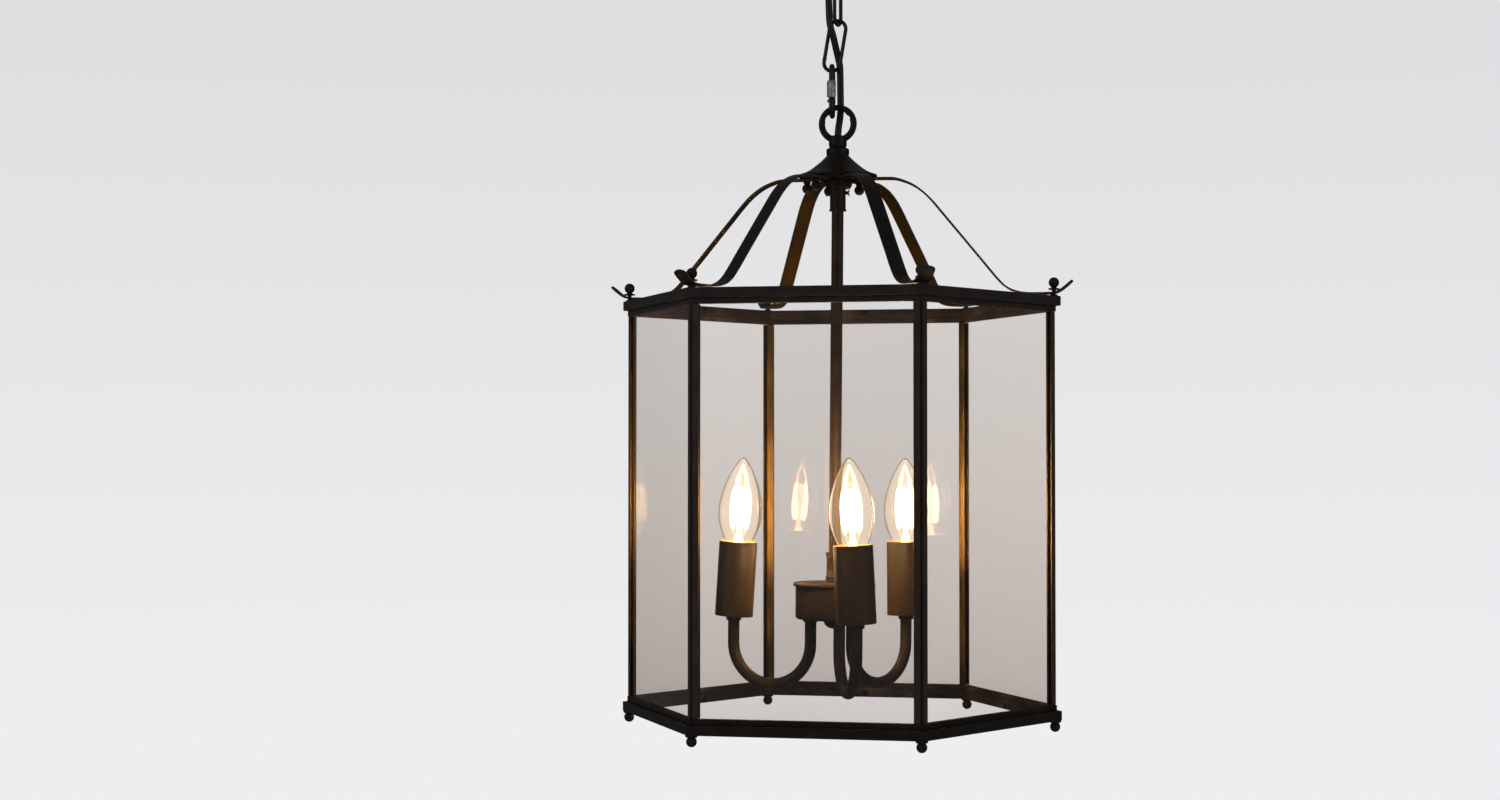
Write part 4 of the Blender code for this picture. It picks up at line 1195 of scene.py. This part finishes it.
def make_candle(k):
    """A sleeve, its lampholder and its bulb, standing on an arm's end."""
    tilt_x, tilt_y = (math.radians(a) for a in CANDLE_LEAN[k])
    at = polar(CANDLE_OUT[k], CANDLES[k], SLEEVE_Z + CANDLE_RISE[k])
    foot = LEAN @ Matrix.Translation(at)
    foot = foot @ Matrix.Rotation(tilt_y, 4, "Y") @ Matrix.Rotation(tilt_x, 4, "X")
    r, bore, tall = SLEEVE_R, SLEEVE_R - 0.001, SLEEVE_TALL

    # The sleeve's inner faces and top rim, which take the painted lamp glow.
    def sleeve_lit_faces(c, n):
        return n.x * c.x + n.y * c.y < -0.3 * r or n.z > 0.6

    sleeve = turned(f"sleeve_{k}", [(bore, tall), (r, tall), (r, 0), (bore, 0)], 0.0003, 56)
    node = f"candle_sleeve_{k}"
    finish(sleeve, "cluster", node, MAT_SLEEVE, MAT_SLEEVE_GLOW, slot="sleeve_brown",
           inside=sleeve_lit_faces, place=foot)
    shelf = tall - 0.0056
    profile = [(0, 0.0280), (0.0076, 0.0280), (0.0076, shelf), (0.0120, shelf)]
    profile += [(0.0120, 0.0066), (0.0090, 0.0026), (0, 0.0026)]
    holder = lathe(f"holder_{k}", fillet(profile, 0.0006), 40)
    finish(holder, "cluster", f"lampholder_{k}", MAT_HOLDER, slot="holder_white", place=foot)
    make_bulb(k, foot @ Matrix.Translation((0, 0, tall - BULB_SINK[k])))


def make_bulb(k, foot):
    def place(made, material):
        node = f"bulb_{k}"
        finish(made, node + "_body", node, material, slot="bulb_glass", place=foot)

    thin = BULB_WALL
    inner = [(max(0.0, x - thin), z - (thin if x < 0.006 else 0)) for x, z in BULB_OUTLINE]
    inner[0] = (0, BULB_OUTLINE[0][1] - 2.5 * thin)
    inner = [p for p in inner if p[0] > 0 or p is inner[0]]
    shell = BULB_OUTLINE + [(0.0062, -0.0030)] + list(reversed(inner[:-1]))
    place(lathe(f"bulb_glass_{k}", shell, 48, sharp=80), MAT_BULB)

    thread = [(0.0070 if i % 2 else 0.0065, -0.0036 - 0.001 * i) for i in range(18)]
    tip = [(0.0062, -0.0222), (0.0040, -0.0270), (0.0024, -0.0278), (0.0020, -0.0290)]
    cap = [(0, -0.0032), (0.0066, -0.0032)] + thread + tip + [(0, -0.0290)]
    place(lathe(f"bulb_cap_{k}", cap, 36, sharp=60), MAT_CAP)

    stem = [(0, 0.0440), (0.0014, 0.0435), (0.0019, 0.0080)]
    stem += [(0.0042, -0.0010), (0.0048, -0.0028), (0, -0.0028)]
    place(lathe(f"bulb_stem_{k}", fillet(stem, 0.0008), 28, sharp=70), MAT_STEM)

    wires, leads = [], []
    ends = [0.4, 0.8] + [1.0] * 9 + [0.8, 0.4]
    for i in range(4):
        low = polar(0.0052, 90 * i + 19, 0.0110)
        high = polar(0.0056, 90 * i + 39, 0.0450)
        line = []
        for t in range(13):
            bow = 1 + 0.30 * math.sin(math.pi * t / 12)
            point = low.lerp(high, t / 12)
            line.append(Vector((point.x * bow, point.y * bow, point.z)))
        stick = sweep(f"filament_{k}_{i + 1}", line, 0.0019, sides=12, swell=ends)
        place(stick, MAT_FILAMENT)
        support = [(0, 0, 0.0150), low * 0.5 + Vector((0, 0, 0.0072)), low]
        wires.append(sweep("wire", support, 0.00018, sides=8))
        top = Vector((high.x * 0.10, high.y * 0.10, 0.0625))
        lift = high.lerp(top, 0.4) + Vector((high.x, high.y, 0)) * 0.22
        bar = sweep("wire", [high, lift, top], 0.00045, sides=8, swell=[1.4, 1.1, 0.6])
        leads.append(bar)
    post = [(0, 0, 0.0430), (0, 0, 0.0450), (0, 0, 0.0470)]
    wires.append(sweep("wire", post, 0.00025, sides=8))
    place(join(f"filament_wires_{k}", wires), MAT_WIRE)
    # The lead wires take the painted glow.
    place(join(f"filament_leads_{k}", leads), MAT_LEAD_GLOW)


# ---------------------------------------------------------------- all pieces
def dress(name, material):
    """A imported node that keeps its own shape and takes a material."""
    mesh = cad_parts[name].data
    mesh.materials.clear()
    mesh.materials.append(material)


make_cord()
make_ceiling()
make_chain()
make_eye()
make_bell()
make_hub()
for corner in range(6):
    make_strap(corner)
    make_finial(corner)
    make_foot(corner)
    make_post(corner)
make_ring("top", TOP_BAND_Z - BAND_TALL, -1)
make_ring("bottom", LOW_BAND_Z + BAND_TALL, 1)
make_rod()
make_pan()
for candle in CANDLES:
    make_arm(candle)
    make_candle(candle)
for pane in range(1, 7):
    front_or_rear = pane in (2, 5)
    dress(f"glass_pane_{pane}", MAT_GLASS if front_or_rear else MAT_GLASS_SIDE)
dress("inner_wiring", MAT_FLEX)
dress("terminal_block", MAT_HOLDER)


# ---------------------------------------------------------------- stage and light
def make_stage():
    """A pale round floor that curves up into a wall."""
    floor, radius, bend = -1.9, 6.0, 1.8
    profile = [(0, floor), (2.0, floor)]
    for k in range(13):
        angle = math.radians(90 * k / 12)
        out = radius - bend + bend * math.sin(angle)
        profile.append((out, floor + bend - bend * math.cos(angle)))
    profile += [(radius, 1.0), (radius, 2.6)]
    bowl = lathe("studio_floor", profile, 96)
    made, tree, shader = surface("studio_paper")
    height = height_in(tree, "Object")
    climb = add_node(tree, "MapRange", {"From Min": -1.25, "From Max": 0.95})
    tree.links.new(height, climb.inputs["Value"])
    low, high = (0.855, 0.855, 0.871), (0.735, 0.735, 0.750)
    tone = ramp(tree, climb.outputs["Result"], [(0.0, low), (1.0, high)])
    tree.links.new(tone, shader.inputs["Emission Color"])
    # Reflections see a dim studio, so the panes carry no white veil.
    path = add_node(tree, "LightPath")
    dim = add_node(tree, "MapRange", {"To Min": 1.0, "To Max": 0.08})
    tree.links.new(path.outputs["Glossy Depth"], dim.inputs["Value"])
    tree.links.new(dim.outputs["Result"], shader.inputs["Emission Strength"])
    put(shader, {"Base Color": (0.0, 0.0, 0.0, 1.0), "Roughness": 1.0})
    put(shader, {"Specular IOR Level": 0.0})
    bowl.data.materials.append(made)


def soft_light(name, at, aim, size, power):
    lamp = bpy.data.lights.new(name, "AREA")
    lamp.shape = "RECTANGLE"
    lamp.size, lamp.size_y = size
    lamp.energy = power
    made = new_object(name, lamp)
    made.location = at
    direction = Vector(aim) - Vector(at)
    made.rotation_euler = direction.to_track_quat("-Z", "Y").to_euler()
    made.visible_camera = False
    made.visible_transmission = False


def make_lights():
    world = bpy.data.worlds.new("studio_air")
    world.use_nodes = True
    put(
        world.node_tree.nodes["Background"],
        {"Color": (0.80, 0.80, 0.81, 1), "Strength": 0.25},
    )
    SCENE.world = world
    soft_light("light_left", (-1.6, -1.4, 0.3), (0, 0, -0.45), (1.2, 1.6), 14)
    soft_light("light_right", (1.9, -0.9, 0.1), (0, 0, -0.45), (0.9, 1.6), 10)


make_stage()
make_lights()
